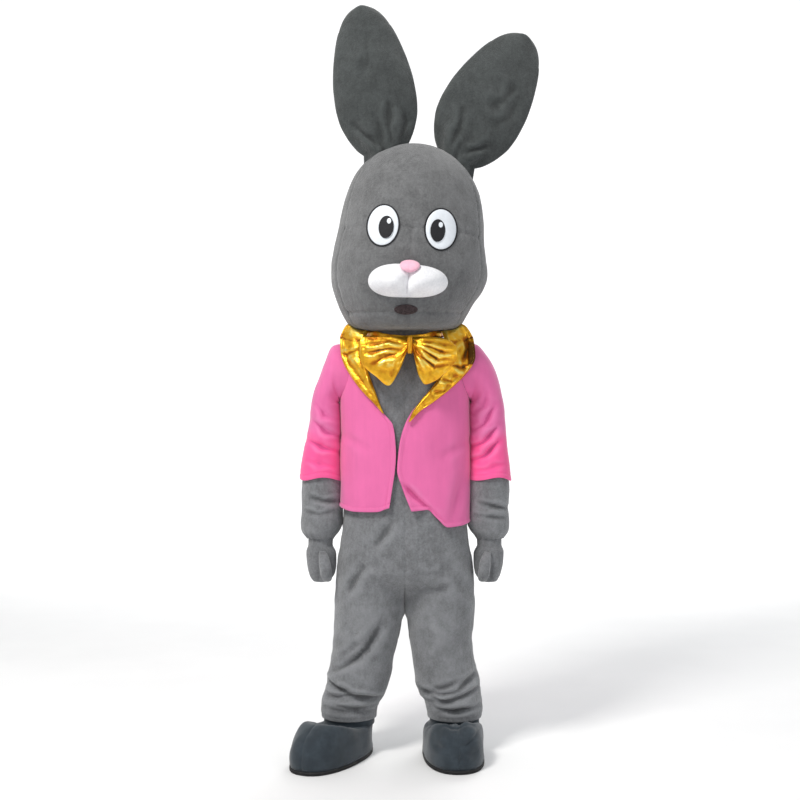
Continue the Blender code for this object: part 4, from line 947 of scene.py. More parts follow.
def relief(grid, normals, steps, scale):
    """0 in the hollows of a grid and 1 on its ridges, from each point's height over its neighbours."""
    rows, columns = grid.shape[:2]
    wide = np.pad(grid, ((steps, steps), (steps, steps), (0, 0)), mode="reflect", reflect_type="odd")
    near = wide[:rows, steps:-steps] + wide[2 * steps:, steps:-steps]
    near = near + wide[steps:-steps, :columns] + wide[steps:-steps, 2 * steps:]
    return np.clip(0.5 + ((grid - near / 4) * normals).sum(axis=-1) / scale, 0, 1)


def from_edge(grid, edge):
    """How far each point of a grid lies from one of its edges, measured over the cloth."""
    axis = 0 if edge.endswith("v") else 1
    step = np.linalg.norm(np.diff(grid, axis=axis), axis=-1)
    start = np.zeros_like(np.take(step, [0], axis=axis))
    run = np.concatenate([start, np.cumsum(step, axis=axis)], axis=axis)
    if edge.startswith("high"):
        run = np.take(run, [-1], axis=axis) - run
    return run


def seamed(grid, normals, edges, deep, reach, pucker=0.4):
    """Sinks the sewn edges of a panel, a little unevenly along each."""
    depth = np.zeros(grid.shape[:2])
    for edge in edges:
        away = from_edge(grid, edge)
        along = from_edge(grid, "low_u" if edge.endswith("v") else "low_v")
        uneven = 1 + pucker * np.sin(along * 210) * np.exp(-away / 0.012)
        depth += deep * uneven * np.exp(-((away / reach) ** 2))
    return sunk(grid, normals, depth)


def hemmed(grid, normals, edges, fold, thick):
    """Thickens the turned hem at an edge, with a shallow stitched groove above it."""
    lift = np.zeros(grid.shape[:2])
    for edge in edges:
        away = from_edge(grid, edge)
        lift += thick * (1 - ease((away - fold + 0.002) / 0.004))
        lift -= thick * np.exp(-(((away - fold) / 0.0022) ** 2))
        lift -= thick * 0.8 * np.exp(-((away / 0.0018) ** 2))
    return sunk(grid, normals, -lift)


def closing_in(count, share=0.6):
    """Places from 0 to 1 that come closer together near both ends."""
    even = np.linspace(0, 1, count)
    return share * (0.5 - 0.5 * np.cos(math.pi * even)) + (1 - share) * even


def faces_between(first, second, wrap, flip):
    """Four-cornered faces between rows of point numbers."""
    if wrap:
        corners = [first, np.roll(first, -1, axis=-1), np.roll(second, -1, axis=-1), second]
    else:
        corners = [first[..., :-1], first[..., 1:], second[..., 1:], second[..., :-1]]
    if flip:
        corners.reverse()
    return np.stack(corners, axis=-1).reshape(-1, 4)


def shape(name, points, faces, sharp=55, tone=None):
    """One object from points and faces, lowered to the frame, its doubled points merged. tone is
    how high each point stands in its folds, for the finish to read."""
    points = np.asarray(points, float) - (0, 0, NECK_HEIGHT)
    size = faces.shape[1]
    mesh = bpy.data.meshes.new(name)
    mesh.vertices.add(len(points))
    mesh.vertices.foreach_set("co", points.ravel())
    mesh.loops.add(faces.size)
    mesh.loops.foreach_set("vertex_index", faces.ravel().astype(np.int32))
    mesh.polygons.add(len(faces))
    mesh.polygons.foreach_set("loop_start", np.arange(len(faces), dtype=np.int32) * size)
    mesh.update(calc_edges=True)
    fold = mesh.attributes.new("fold", "FLOAT", "POINT")
    fold.data.foreach_set("value", np.full(len(points), 0.5) if tone is None else tone)
    work = bmesh.new()
    work.from_mesh(mesh)
    bmesh.ops.remove_doubles(work, verts=work.verts[:], dist=2e-6)
    bmesh.ops.recalc_face_normals(work, faces=work.faces[:])
    work.to_mesh(mesh)
    work.free()
    mesh.shade_smooth()
    mesh.set_sharp_from_angle(angle=math.radians(sharp))
    item = bpy.data.objects.new(name, mesh)
    bpy.context.scene.collection.objects.link(item)
    return item


def settle(item, slot, node=None, finish=None):
    """Gives a piece its finish, its body and the solid that it stands for, if there is one."""
    item.data.materials.append(finish or FINISHES[slot])
    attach(item, "root")
    if node:
        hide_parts(node)
    return item


def wall(name, outer, inner, tone, wrap, tip):
    """A closed wall between an outer and an inner grid of points, rows by columns."""
    rows, columns = outer.shape[:2]
    points = np.concatenate([outer.reshape(-1, 3), inner.reshape(-1, 3)])
    near = np.arange(rows * columns).reshape(rows, columns)
    far = near + rows * columns
    if tip:
        near[-1] = near[-1, 0]
        far[-1] = far[-1, 0]
    faces = [
        faces_between(near[:-1], near[1:], wrap, False),
        faces_between(far[:-1], far[1:], wrap, True),
        faces_between(near[:1], far[:1], wrap, True),
    ]
    if not tip:
        faces.append(faces_between(near[-1:], far[-1:], wrap, False))
    if not wrap:
        faces.append(faces_between(near[:, 0][None], far[:, 0][None], False, False))
        faces.append(faces_between(near[:, -1][None], far[:, -1][None], False, True))
    if tone is not None:
        tone = np.resize(tone, len(points))
    return shape(name, points, np.concatenate(faces), tone=tone)


def sewn(node, slot, outer, inner, tone=None, wrap=False, tip=False):
    """A cloth piece in place of a solid: the wall between two grids of points."""
    return settle(wall(node + "_sewn", outer, inner, tone, wrap, tip), slot, node)


def stuffed(name, rings):
    """A solid form from rings of points, closed at both ends by a point in the ring's middle."""
    rows, count = rings.shape[:2]
    points = np.concatenate([rings.reshape(-1, 3), [rings[0].mean(axis=0), rings[-1].mean(axis=0)]])
    number = np.arange(rows * count).reshape(rows, count)
    ends = [np.full((1, count), rows * count + end) for end in (0, 1)]
    faces = np.concatenate([
        faces_between(number[:-1], number[1:], True, False),
        faces_between(ends[0], number[:1], True, False),
        faces_between(number[-1:], ends[1], True, False),
    ])
    return shape(name, points, faces)


def between_rings(rings, count):
    """A finer run of rings along a smooth curve through the given ones, closer at the far end."""
    step = np.linalg.norm(np.diff(rings, axis=0), axis=-1).mean(axis=1)
    at = np.insert(np.cumsum(step), 0, 0.0)
    slope = np.gradient(rings, at, axis=0)
    where = at[-1] * closing_in(count, 0.3)
    row = np.clip(np.searchsorted(at, where, side="right") - 1, 0, len(step) - 1)
    width = step[row][:, None, None]
    t = ((where - at[row]) / step[row])[:, None, None]
    near, far = rings[row], rings[row + 1]
    bend = t * (1 - t) ** 2 * slope[row] - t * t * (1 - t) * slope[row + 1]
    return (1 + 2 * t) * (1 - t) ** 2 * near + t * t * (3 - 2 * t) * far + bend * width


# Shader maths


class Tone:
    """A shader socket that takes part in plain arithmetic. Each sum adds its Math node."""

    def __init__(self, finish, socket):
        self.finish = finish
        self.socket = socket

    def math(self, operation, first, second):
        return self.finish.node("ShaderNodeMath", {"operation": operation}, {0: first, 1: second})

    def __add__(self, other):
        return self.math("ADD", self, other)

    __radd__ = __add__

    def __sub__(self, other):
        return self.math("SUBTRACT", self, other)

    def __rsub__(self, other):
        return self.math("SUBTRACT", other, self)

    def __mul__(self, other):
        return self.math("MULTIPLY", self, other)

    __rmul__ = __mul__

    def between(self, low, high):
        """0 where the value is at low, 1 where it is at high, eased between."""
        settings = {"interpolation_type": "SMOOTHSTEP"}
        return self.finish.node("ShaderNodeMapRange", settings, {0: self, 1: low, 2: high})


class Finish:
    """One cloth's or plastic's material, built up from nodes and ending in its shader."""

    def __init__(self, name, **constants):
        self.material = bpy.data.materials.new(name)
        self.material.use_nodes = True
        self.tree = self.material.node_tree
        self.shader = self.tree.nodes["Principled BSDF"]
        for label, value in constants.items():
            self.shader.inputs[label.replace("_", " ")].default_value = value

    def node(self, kind, settings=None, values=None, output=0):
        node = self.tree.nodes.new(kind)
        for label, value in (settings or {}).items():
            setattr(node, label, value)
        for label, value in (values or {}).items():
            self.feed(node.inputs[label], value)
        return Tone(self, node.outputs[output])

    def feed(self, socket, value):
        if isinstance(value, Tone):
            self.tree.links.new(value.socket, socket)
        else:
            socket.default_value = (*value, 1.0) if socket.type == "RGBA" else value

    def place(self, stretch):
        spot = self.node("ShaderNodeTexCoord", output=3)
        return self.node("ShaderNodeMapping", None, {0: spot, 3: stretch})

    def heights(self):
        """Across, along and up places on the costume, in metres from the middle of the neck."""
        spot = self.node("ShaderNodeTexCoord", output=3)
        split = self.node("ShaderNodeSeparateXYZ", None, {0: spot})
        return [Tone(self, split.socket.node.outputs[i]) for i in range(3)]

    def fold(self):
        """How high the cloth stands in its folds: 0 in a hollow, 1 on a ridge."""
        return self.node("ShaderNodeAttribute", {"attribute_name": "fold"}, output=2)

    def noise(self, size, detail=2.0, roughness=0.5, stretch=(1, 1, 1)):
        """Noise with patches of about the given size in metres."""
        values = {"Vector": self.place(stretch), "Scale": 1 / size, "Detail": detail, "Roughness": roughness}
        return self.node("ShaderNodeTexNoise", None, values)

    def cells(self, size, stretch):
        values = {"Vector": self.place(stretch), "Scale": 1 / size}
        return self.node("ShaderNodeTexVoronoi", {"feature": "F1"}, values)

    def mix(self, share, first, second):
        return self.node("ShaderNodeMix", {"data_type": "RGBA"}, {0: share, 6: first, 7: second}, output=2)

    def ended(self, colour, roughness, height, strength, distance):
        """Gives the shader its colour, roughness and bump, and returns the material."""
        self.feed(self.shader.inputs["Base Color"], colour)
        self.feed(self.shader.inputs["Roughness"], roughness)
        values = {"Strength": strength, "Distance": distance, "Height": height}
        self.feed(self.shader.inputs["Normal"], self.node("ShaderNodeBump", None, values))
        return self.material


def shade(colour, share):
    return tuple(part * share for part in colour)


def short_plush(name, colour, nap=0.0016):
    """Short-pile plush: fine fibres, darker between the tufts, brushed lighter and darker in patches,
    painted shade in fold hollows and painted highlight on ridges.
    """
    finish = Finish(name, Sheen_Weight=0.35, Sheen_Roughness=0.55, Specular_IOR_Level=0.15)
    pile = finish.noise(nap, 3.0, 0.7)
    tufts = finish.noise(0.0065, 4.0, 0.7)
    strokes = finish.noise(0.014, 3.0, 0.6, stretch=(1, 1, 0.55))
    brushed = finish.noise(0.06, 4.0, 0.62)
    tone = tufts.between(0.35, 0.65) * 0.3 + strokes.between(0.35, 0.65) * 0.2
    tone = tone + pile.between(0.3, 0.7) * 0.2 + brushed.between(0.36, 0.64) * 0.3
    wear_and_shade = finish.mix(tone, shade(colour, 0.58), shade(colour, 1.40))
    # Painted shade: the colour darkens in the hollows of the folds
    wear_and_shade = finish.mix(finish.fold().between(0.50, 0.0) * 0.62, wear_and_shade, shade(colour, 0.34))
    # Painted highlight: the colour lightens on the ridges of the folds
    base_colour = finish.mix(finish.fold().between(0.54, 1.0) * 0.5, wear_and_shade, shade(colour, 1.65))
    return finish.ended(base_colour, 0.86 + 0.14 * pile, pile * 0.45 + tufts * 0.7 + strokes * 0.6, 0.85, 0.0034)


def pink_velboa(name, colour, bright):
    """Velboa, smooth and short, with faint lengthwise sheen painted in bands, a hotter pink down the
    sleeves, painted shade in fold hollows and painted highlight on ridges.
    """
    finish = Finish(name, Sheen_Weight=0.4, Sheen_Roughness=0.4, Specular_IOR_Level=0.12)
    across, _, up = finish.heights()
    outward = finish.node("ShaderNodeMath", {"operation": "ABSOLUTE"}, {0: across})
    bands = finish.noise(0.02, stretch=(1, 1, 0.12))
    pile = finish.noise(0.0012, 2.0, 0.6)
    brushed = finish.noise(0.09, 3.0, 0.55)
    low = outward.between(0.205, 0.225) * (up - outward * 0.22).between(-0.412, -0.462)
    cloth = finish.mix(low, colour, bright)
    # Painted sheen: lengthwise bands darken the cloth a little, together with random pile and brushed
    # patches
    tone = bands.between(0.3, 0.7) * 0.35 + pile.between(0.3, 0.7) * 0.3 + brushed.between(0.3, 0.7) * 0.35
    brushed_and_sheen_bands = finish.mix(tone * 0.34, cloth, shade(colour, 0.66))
    # Painted shade: deep pink in the hollows of the folds
    hollows = finish.mix(finish.fold().between(0.49, 0.05) * 0.7, brushed_and_sheen_bands, (0.50, 0.06, 0.21))
    # Painted highlight: pale pink on the ridges of the folds
    base_colour = finish.mix(finish.fold().between(0.54, 1.0) * 0.3, hollows, (0.93, 0.32, 0.58))
    return finish.ended(base_colour, 0.80 + 0.15 * pile, pile * 0.6 + bands * 0.4, 0.35, 0.0012)


def gold_lame(name):
    """Metal cloth with painted reflections: painted pale yellow highlight on its ridges, orange on the
    slopes and painted brown shade in the hollows.
    """
    finish = Finish(name, Metallic=0.78)
    facets = finish.noise(0.034, stretch=(1, 1, 1.25))
    creases = finish.noise(0.012, stretch=(1, 1, 1.6))
    weave = finish.noise(0.0009, 1.0, 0.5)
    height = finish.fold() * 0.62 + facets * 0.30 + creases * 0.08
    # Painted reflection: dark orange to orange up the slopes of the folds
    slopes = finish.mix(height.between(0.40, 0.53), (0.50, 0.155, 0.006), (0.90, 0.47, 0.024))
    # Painted highlight: pale yellow on the ridges
    bright = finish.mix(height.between(0.53, 0.66), slopes, (1.0, 0.78, 0.18))
    # Painted shade: dark brown in the hollows
    base_colour = finish.mix(height.between(0.42, 0.27), bright, (0.10, 0.042, 0.004))
    dull = 0.20 + 0.16 * creases + 0.1 * weave
    return finish.ended(base_colour, dull, facets * 0.7 + creases * 0.35 + weave * 0.03, 0.55, 0.006)


def brushed_fleece(name, colour, dark):
    """Close fleece with a soft, slightly pebbled face."""
    finish = Finish(name, Sheen_Weight=0.3, Sheen_Roughness=0.5, Specular_IOR_Level=0.2)
    pile = finish.noise(0.0014, 3.0, 0.65)
    pebbles = finish.noise(0.006)
    brushed = finish.noise(0.05)
    tone = pebbles.between(0.3, 0.7) * 0.5 + brushed.between(0.3, 0.7) * 0.5
    base_colour = finish.mix(tone, dark, colour)
    return finish.ended(base_colour, 0.8 + 0.18 * pile, pile * 0.5 + pebbles * 0.6, 0.5, 0.0016)


def pressed_felt(name, colour):
    finish = Finish(name, Sheen_Weight=0.15, Sheen_Roughness=0.4, Specular_IOR_Level=0.3)
    fibres = finish.noise(0.0016, 4.0, 0.75, stretch=(1, 1, 0.4))
    base_colour = finish.mix(fibres.between(0.35, 0.75), shade(colour, 0.7), shade(colour, 2.4))
    return finish.ended(base_colour, 0.55 + 0.3 * fibres, fibres, 0.35, 0.0008)


def eye_sheet(name, colour):
    """Smooth moulded sheet of the eyes, faintly uneven and a little glossy."""
    finish = Finish(name, Coat_Weight=0.35, Coat_Roughness=0.18)
    swell = finish.noise(0.02)
    grain = finish.noise(0.0008, 1.0, 0.5)
    base_colour = finish.mix(swell.between(0.3, 0.7), shade(colour, 0.93), colour)
    return finish.ended(base_colour, 0.34 + 0.12 * grain, swell * 0.4 + grain * 0.05, 0.25, 0.001)


def open_mesh(name):
    """Dark see-out mesh: round holes in rows, painted near-black as the shade inside the hollow head behind
    them.
    """
    finish = Finish(name, Specular_IOR_Level=0.3)
    holes = finish.cells(0.0024, stretch=(1, 0.2, 1))
    threads = holes.between(0.30, 0.48)
    # Painted shade: the holes near-black, the dark threads a little lighter
    base_colour = finish.mix(threads, (0.004, 0.003, 0.003), (0.05, 0.032, 0.034))
    return finish.ended(base_colour, 0.9 - 0.3 * threads, threads, 0.6, 0.0008)


def shoe_cloth(name, colour, wear_and_shade):
    """Napped cloth of the shoes, scuffed paler in patches."""
    finish = Finish(name, Sheen_Weight=0.3, Sheen_Roughness=0.45, Specular_IOR_Level=0.25)
    nap = finish.noise(0.0018, 3.0, 0.7)
    patches = finish.noise(0.045, 4.0, 0.6)
    tone = nap.between(0.3, 0.7) * 0.4 + patches.between(0.35, 0.7) * 0.6
    base_colour = finish.mix(tone, colour, wear_and_shade)
    return finish.ended(base_colour, 0.66 + 0.25 * nap, nap * 0.6 + patches * 0.3, 0.5, 0.0016)


def sole_rubber(name):
    """Dark rubber, ribbed along its edge and dusty in places."""
    finish = Finish(name, Specular_IOR_Level=0.4)
    ribs = finish.noise(0.004, 0.0, 0.5, stretch=(0.15, 0.15, 2.5))
    dust = finish.noise(0.03, 4.0, 0.65)
    base_colour = finish.mix(dust.between(0.5, 0.75) * 0.6, (0.013, 0.013, 0.014), (0.075, 0.07, 0.064))
    return finish.ended(base_colour, 0.6 + 0.3 * dust, ribs * 0.7 + dust * 0.2, 0.4, 0.001)


def sewing_thread(name, colour):
    finish = Finish(name, Sheen_Weight=0.2, Specular_IOR_Level=0.4)
    twist = finish.noise(0.0006, 1.0, 0.5)
    base_colour = finish.mix(twist, shade(colour, 0.75), shade(colour, 1.15))
    return finish.ended(base_colour, 0.5 + 0.2 * twist, twist, 0.3, 0.0003)


def studio_paper(name):
    """One pale sweep of paper, the part behind the costume lit more."""
    finish = Finish(name, Emission_Strength=0.42, Specular_IOR_Level=0.1)
    _, back, _ = finish.heights()
    grain = finish.noise(0.4, 3.0, 0.5)
    pale = finish.mix(grain.between(0.3, 0.7), (0.87, 0.87, 0.87), (0.89, 0.89, 0.89))
    lit = finish.mix(back.between(1.5, 5.5), (0.0, 0.0, 0.0), (1.0, 1.0, 1.0))
    finish.feed(finish.shader.inputs["Base Color"], pale)
    finish.feed(finish.shader.inputs["Emission Color"], lit)
    finish.feed(finish.shader.inputs["Roughness"], 0.75 + 0.1 * grain)
    return finish.material


FINISHES = {
    "grey_plush": short_plush("grey_plush", (0.178, 0.183, 0.192)),
    "head_plush": short_plush("head_plush", (0.132, 0.134, 0.137)),
    "ear_plush": short_plush("ear_plush", (0.048, 0.054, 0.054), nap=0.002),
    "pink_velboa": pink_velboa("pink_velboa", (0.80, 0.165, 0.40), (0.98, 0.105, 0.33)),
    "gold_lame": gold_lame("gold_lame"),
    "white_fleece": brushed_fleece("white_fleece", (0.90, 0.90, 0.92), (0.74, 0.74, 0.77)),
    "pink_fleece": brushed_fleece("pink_fleece", (0.93, 0.52, 0.64), (0.80, 0.42, 0.54)),
    "black_felt": pressed_felt("black_felt", (0.010, 0.010, 0.012)),
    "eye_white": eye_sheet("eye_white", (0.78, 0.82, 0.87)),
    "mouth_mesh": open_mesh("mouth_mesh"),
    "shoe_cloth": shoe_cloth("shoe_cloth", (0.022, 0.030, 0.038), (0.045, 0.060, 0.074)),
    "shoe_sole": sole_rubber("shoe_sole"),
}
PINK_THREAD = sewing_thread("pink_thread", (0.80, 0.20, 0.42))
GOLD_THREAD = sewing_thread("gold_thread", (0.72, 0.42, 0.06))
DARK_THREAD = sewing_thread("dark_thread", (0.03, 0.035, 0.04))


def stitches(name, slot, thread, rows, pitch=0.0042, length=0.0030, wide=0.0009, high=0.0007):
    """Rows of sewn stitches. Each row is the points that it follows and the directions out of the
    cloth there; each stitch is a small eight-sided bead along its row."""
    points = []
    for route, out in rows:
        step = np.linalg.norm(np.diff(route, axis=0), axis=-1)
        at = np.insert(np.cumsum(step), 0, 0.0)
        where = np.arange(pitch / 2, at[-1], pitch)
        spots = ((route, where), (route, where + 0.001), (route, where - 0.001), (out, where))
        middle, ahead, behind, up = [
            np.stack([np.interp(places, at, column) for column in values.T], axis=-1)
            for values, places in spots
        ]
        way = unit(ahead - behind)
        beside = np.cross(way, up)
        ends = [way * length / 2, beside * wide / 2, -way * length / 2, -beside * wide / 2]
        corners = [middle + end for end in ends] + [middle + up * high, middle - up * high]
        points.append(np.stack(corners, axis=1))
    points = np.concatenate(points)
    count = len(points)
    bead = np.array([(0, 1, 4), (1, 2, 4), (2, 3, 4), (3, 0, 4), (1, 0, 5), (2, 1, 5), (3, 2, 5), (0, 3, 5)])
    faces = (np.arange(count)[:, None, None] * 6 + bead[None]).reshape(-1, 3)
    settle(shape(name, points.reshape(-1, 3), faces, sharp=180), slot, finish=thread)


def row_along(grid, normals, edge, away):
    """The line over a grid at a distance from one edge, and the directions out of it there."""
    run = from_edge(grid, edge)
    if edge.endswith("u"):
        grid, normals, run = [np.swapaxes(part, 0, 1) for part in (grid, normals, run)]
    if edge.startswith("high"):
        grid, normals, run = [part[::-1] for part in (grid, normals, run)]
    row = np.clip((run < away).sum(axis=0), 1, len(grid) - 1)
    column = np.arange(grid.shape[1])
    before, after = run[row - 1, column], run[row, column]
    part = np.clip((away - before) / np.maximum(after - before, 1e-9), 0, 1)[:, None]
    line = grid[row - 1, column] * (1 - part) + grid[row, column] * part
    return line, normals[row, column]


# Finer creases: depth, half width, and the points across the front view that each runs through
SUIT_FRONT_CREASES = (
    (0.0055, 0.007, (-0.262, 0.262), (-0.19, 0.296), (-0.12, 0.35), (-0.062, 0.47)),
    (0.0035, 0.009, (-0.215, 0.322), (-0.135, 0.368), (-0.085, 0.44)),
    (0.006, 0.006, (-0.266, 0.24), (-0.222, 0.222), (-0.16, 0.208)),
    (0.006, 0.006, (-0.262, 0.192), (-0.17, 0.203), (-0.07, 0.186)),
    (0.005, 0.006, (-0.225, 0.168), (-0.15, 0.158), (-0.075, 0.165)),
    (0.003, 0.01, (-0.128, 0.626), (-0.155, 0.58), (-0.186, 0.53)),
    (0.0026, 0.012, (-0.04, 0.768), (-0.07, 0.715), (-0.1, 0.68)),
    (0.0026, 0.012, (0.015, 0.585), (0.06, 0.59), (0.113, 0.594), (0.16, 0.632)),
    (0.0024, 0.01, (0.052, 0.543), (0.1, 0.541), (0.15, 0.558)),
    (0.006, 0.007, (0.024, 0.214), (0.097, 0.201), (0.164, 0.212), (0.24, 0.27)),
    (0.006, 0.006, (0.05, 0.198), (0.119, 0.181), (0.18, 0.196), (0.256, 0.226)),
    (0.005, 0.006, (0.075, 0.16), (0.154, 0.146), (0.25, 0.162)),
    (0.0022, 0.016, (-0.19, 0.47), (-0.165, 0.4), (-0.17, 0.345)),
    (0.0022, 0.016, (0.18, 0.5), (0.196, 0.42), (0.18, 0.33)),
    (0.0022, 0.014, (0.06, 0.46), (0.075, 0.39), (0.06, 0.33)),
    (0.002, 0.014, (0.03, 0.78), (0.075, 0.73), (0.12, 0.715)),
)
SUIT_BACK_CREASES = (
    (0.0035, 0.007, (-0.22, 0.34), (-0.15, 0.318), (-0.08, 0.29)),
    (0.003, 0.01, (-0.06, 0.43), (-0.12, 0.38), (-0.19, 0.372)),
    (0.0035, 0.006, (-0.25, 0.222), (-0.17, 0.228), (-0.095, 0.246)),
    (0.0035, 0.005, (-0.24, 0.18), (-0.17, 0.164), (-0.1, 0.17)),
    (0.0035, 0.007, (0.06, 0.292), (0.13, 0.318), (0.205, 0.342)),
    (0.0035, 0.006, (0.055, 0.24), (0.14, 0.22), (0.235, 0.214)),
    (0.0035, 0.005, (0.075, 0.172), (0.15, 0.166), (0.236, 0.184)),
    (0.003, 0.012, (-0.17, 0.566), (-0.11, 0.588), (-0.04, 0.622)),
    (0.003, 0.012, (0.045, 0.612), (0.11, 0.58), (0.17, 0.556)),
    (0.0026, 0.014, (-0.13, 0.7), (0.0, 0.712), (0.11, 0.704)),
    (0.0022, 0.016, (-0.15, 0.52), (-0.12, 0.45), (-0.13, 0.39)),
    (0.0022, 0.016, (0.15, 0.5), (0.12, 0.44), (0.13, 0.38)),
)
JACKET_FRONT_CREASES = (
    (0.0011, 0.018, (-0.19, 1.15), (-0.182, 1.04), (-0.186, 0.9), (-0.182, 0.79)),
    (0.0008, 0.02, (-0.13, 1.1), (-0.138, 0.94), (-0.132, 0.81)),
    (0.0006, 0.018, (-0.075, 1.04), (-0.086, 0.91), (-0.078, 0.81)),
    (0.004, 0.006, (-0.014, 0.884), (0.03, 0.838), (0.074, 0.802), (0.108, 0.764)),
    (0.0008, 0.016, (0.01, 1.01), (0.045, 0.94), (0.07, 0.86)),
    (0.0012, 0.018, (0.185, 1.09), (0.172, 0.98), (0.176, 0.86), (0.16, 0.75)),
    (0.0009, 0.018, (0.115, 1.06), (0.122, 0.92), (0.112, 0.78)),
)
JACKET_BACK_CREASES = (
    (0.003, 0.012, (-0.2, 1.11), (-0.14, 1.075), (-0.07, 1.06)),
    (0.003, 0.012, (0.2, 1.11), (0.14, 1.07), (0.07, 1.05)),
    (0.0026, 0.014, (-0.075, 1.01), (-0.1, 0.91), (-0.108, 0.8)),
    (0.0026, 0.014, (0.085, 0.99), (0.11, 0.9), (0.118, 0.79)),
    (0.002, 0.016, (-0.02, 1.23), (0.01, 1.13), (-0.005, 1.01)),
    (0.0022, 0.012, (-0.16, 1.25), (-0.11, 1.2), (-0.07, 1.17)),
    (0.0022, 0.012, (0.16, 1.25), (0.11, 1.205), (0.07, 1.16)),
    (0.002, 0.014, (0.01, 0.95), (-0.01, 0.87), (0.0, 0.79)),
)
SLEEVE_FRONT_CREASES = (
    (0.003, 0.006, (-0.214, 1.02), (-0.25, 1.036), (-0.3, 1.078)),
    (0.0026, 0.006, (-0.22, 0.972), (-0.262, 0.984), (-0.318, 1.016)),
    (0.0024, 0.007, (-0.222, 1.072), (-0.258, 1.092), (-0.29, 1.132)),
    (0.002, 0.007, (-0.226, 0.922), (-0.27, 0.93), (-0.322, 0.95)),
    (0.0034, 0.006, (0.218, 0.945), (0.256, 0.962), (0.302, 1.008)),
    (0.0034, 0.006, (0.218, 0.988), (0.25, 1.004), (0.3, 1.056)),
    (0.003, 0.006, (0.22, 1.036), (0.252, 1.062), (0.288, 1.122)),
    (0.0026, 0.007, (0.224, 1.09), (0.25, 1.12), (0.262, 1.17)),
    (0.0022, 0.007, (0.226, 0.912), (0.27, 0.916), (0.33, 0.934)),
    (0.003, 0.005, (-0.306, 0.83), (-0.262, 0.818), (-0.224, 0.814)),
    (0.0026, 0.005, (-0.33, 0.786), (-0.28, 0.776), (-0.23, 0.782)),
    (0.003, 0.005, (0.238, 0.814), (0.29, 0.8), (0.34, 0.792)),
    (0.0026, 0.005, (0.226, 0.772), (0.28, 0.766), (0.334, 0.76)),
)
SLEEVE_BACK_CREASES = (
    (0.003, 0.006, (-0.218, 1.0), (-0.262, 1.016), (-0.312, 1.052)),
    (0.0026, 0.006, (-0.22, 0.972), (-0.268, 0.966), (-0.32, 0.95)),
    (0.0024, 0.007, (-0.222, 1.06), (-0.252, 1.084), (-0.284, 1.124)),
    (0.003, 0.006, (0.22, 0.996), (0.262, 1.01), (0.312, 1.044)),
    (0.0026, 0.006, (0.224, 0.95), (0.272, 0.956), (0.324, 0.972)),
    (0.0024, 0.007, (0.222, 1.058), (0.254, 1.082), (0.29, 1.126)),
    (0.0028, 0.005, (-0.316, 0.796), (-0.27, 0.802), (-0.226, 0.82)),
    (0.0028, 0.005, (0.23, 0.818), (0.276, 0.804), (0.326, 0.8)),
)
SUIT_FOLDS = ((SUIT_FRONT_FOLDS, SUIT_FRONT_CREASES), (SUIT_BACK_FOLDS, SUIT_BACK_CREASES))
JACKET_FOLDS = ((JACKET_FRONT_FOLDS, JACKET_FRONT_CREASES), (JACKET_BACK_FOLDS, JACKET_BACK_CREASES))
SLEEVE_FOLDS = ((SLEEVE_FRONT_FOLDS, SLEEVE_FRONT_CREASES), (SLEEVE_BACK_FOLDS, SLEEVE_BACK_CREASES))

# Creases of the lapels and the bow: depth, half width, and the points across the front view
LAPEL_CREASES = (
    (0.004, 0.006, (-0.215, 1.335), (-0.178, 1.262), (-0.14, 1.21), (-0.07, 1.11)),
    (0.003, 0.006, (-0.15, 1.34), (-0.142, 1.27), (-0.118, 1.2)),
    (0.0035, 0.005, (-0.222, 1.29), (-0.186, 1.283), (-0.14, 1.3)),
    (0.006, 0.006, (0.19, 1.345), (0.196, 1.3), (0.182, 1.24)),
    (0.0045, 0.006, (0.224, 1.262), (0.18, 1.242), (0.14, 1.25)),
    (0.004, 0.005, (0.165, 1.222), (0.142, 1.2), (0.105, 1.205)),
    (0.004, 0.005, (0.15, 1.205), (0.12, 1.17), (0.085, 1.165)),
    (0.003, 0.005, (0.16, 1.33), (0.145, 1.29), (0.118, 1.262)),
    (0.003, 0.004, (0.092, 1.14), (0.062, 1.122), (0.03, 1.085)),
)
BOW_CREASES = {
    RIGHT: (
        (0.0055, 0.0045, (0.006, 1.312), (-0.048, 1.323), (-0.122, 1.31)),
        (0.006, 0.005, (0.006, 1.3), (-0.048, 1.299), (-0.132, 1.283)),
        (0.0035, 0.005, (0.002, 1.29), (-0.026, 1.258), (-0.048, 1.2)),
        (0.0035, 0.006, (-0.004, 1.294), (-0.065, 1.27), (-0.118, 1.242)),
        (0.003, 0.004, (-0.016, 1.318), (-0.062, 1.331), (-0.112, 1.329)),
    ),
    LEFT: (
        (0.0055, 0.0045, (0.03, 1.32), (0.091, 1.321), (0.156, 1.309)),
        (0.006, 0.005, (0.026, 1.308), (0.052, 1.273), (0.091, 1.242), (0.135, 1.25)),
        (0.0055, 0.0045, (0.029, 1.311), (0.065, 1.289), (0.104, 1.264), (0.146, 1.27)),
        (0.005, 0.004, (0.033, 1.315), (0.078, 1.304), (0.122, 1.287), (0.154, 1.289)),
        (0.0035, 0.005, (0.024, 1.292), (0.048, 1.235), (0.061, 1.2)),
    ),
}

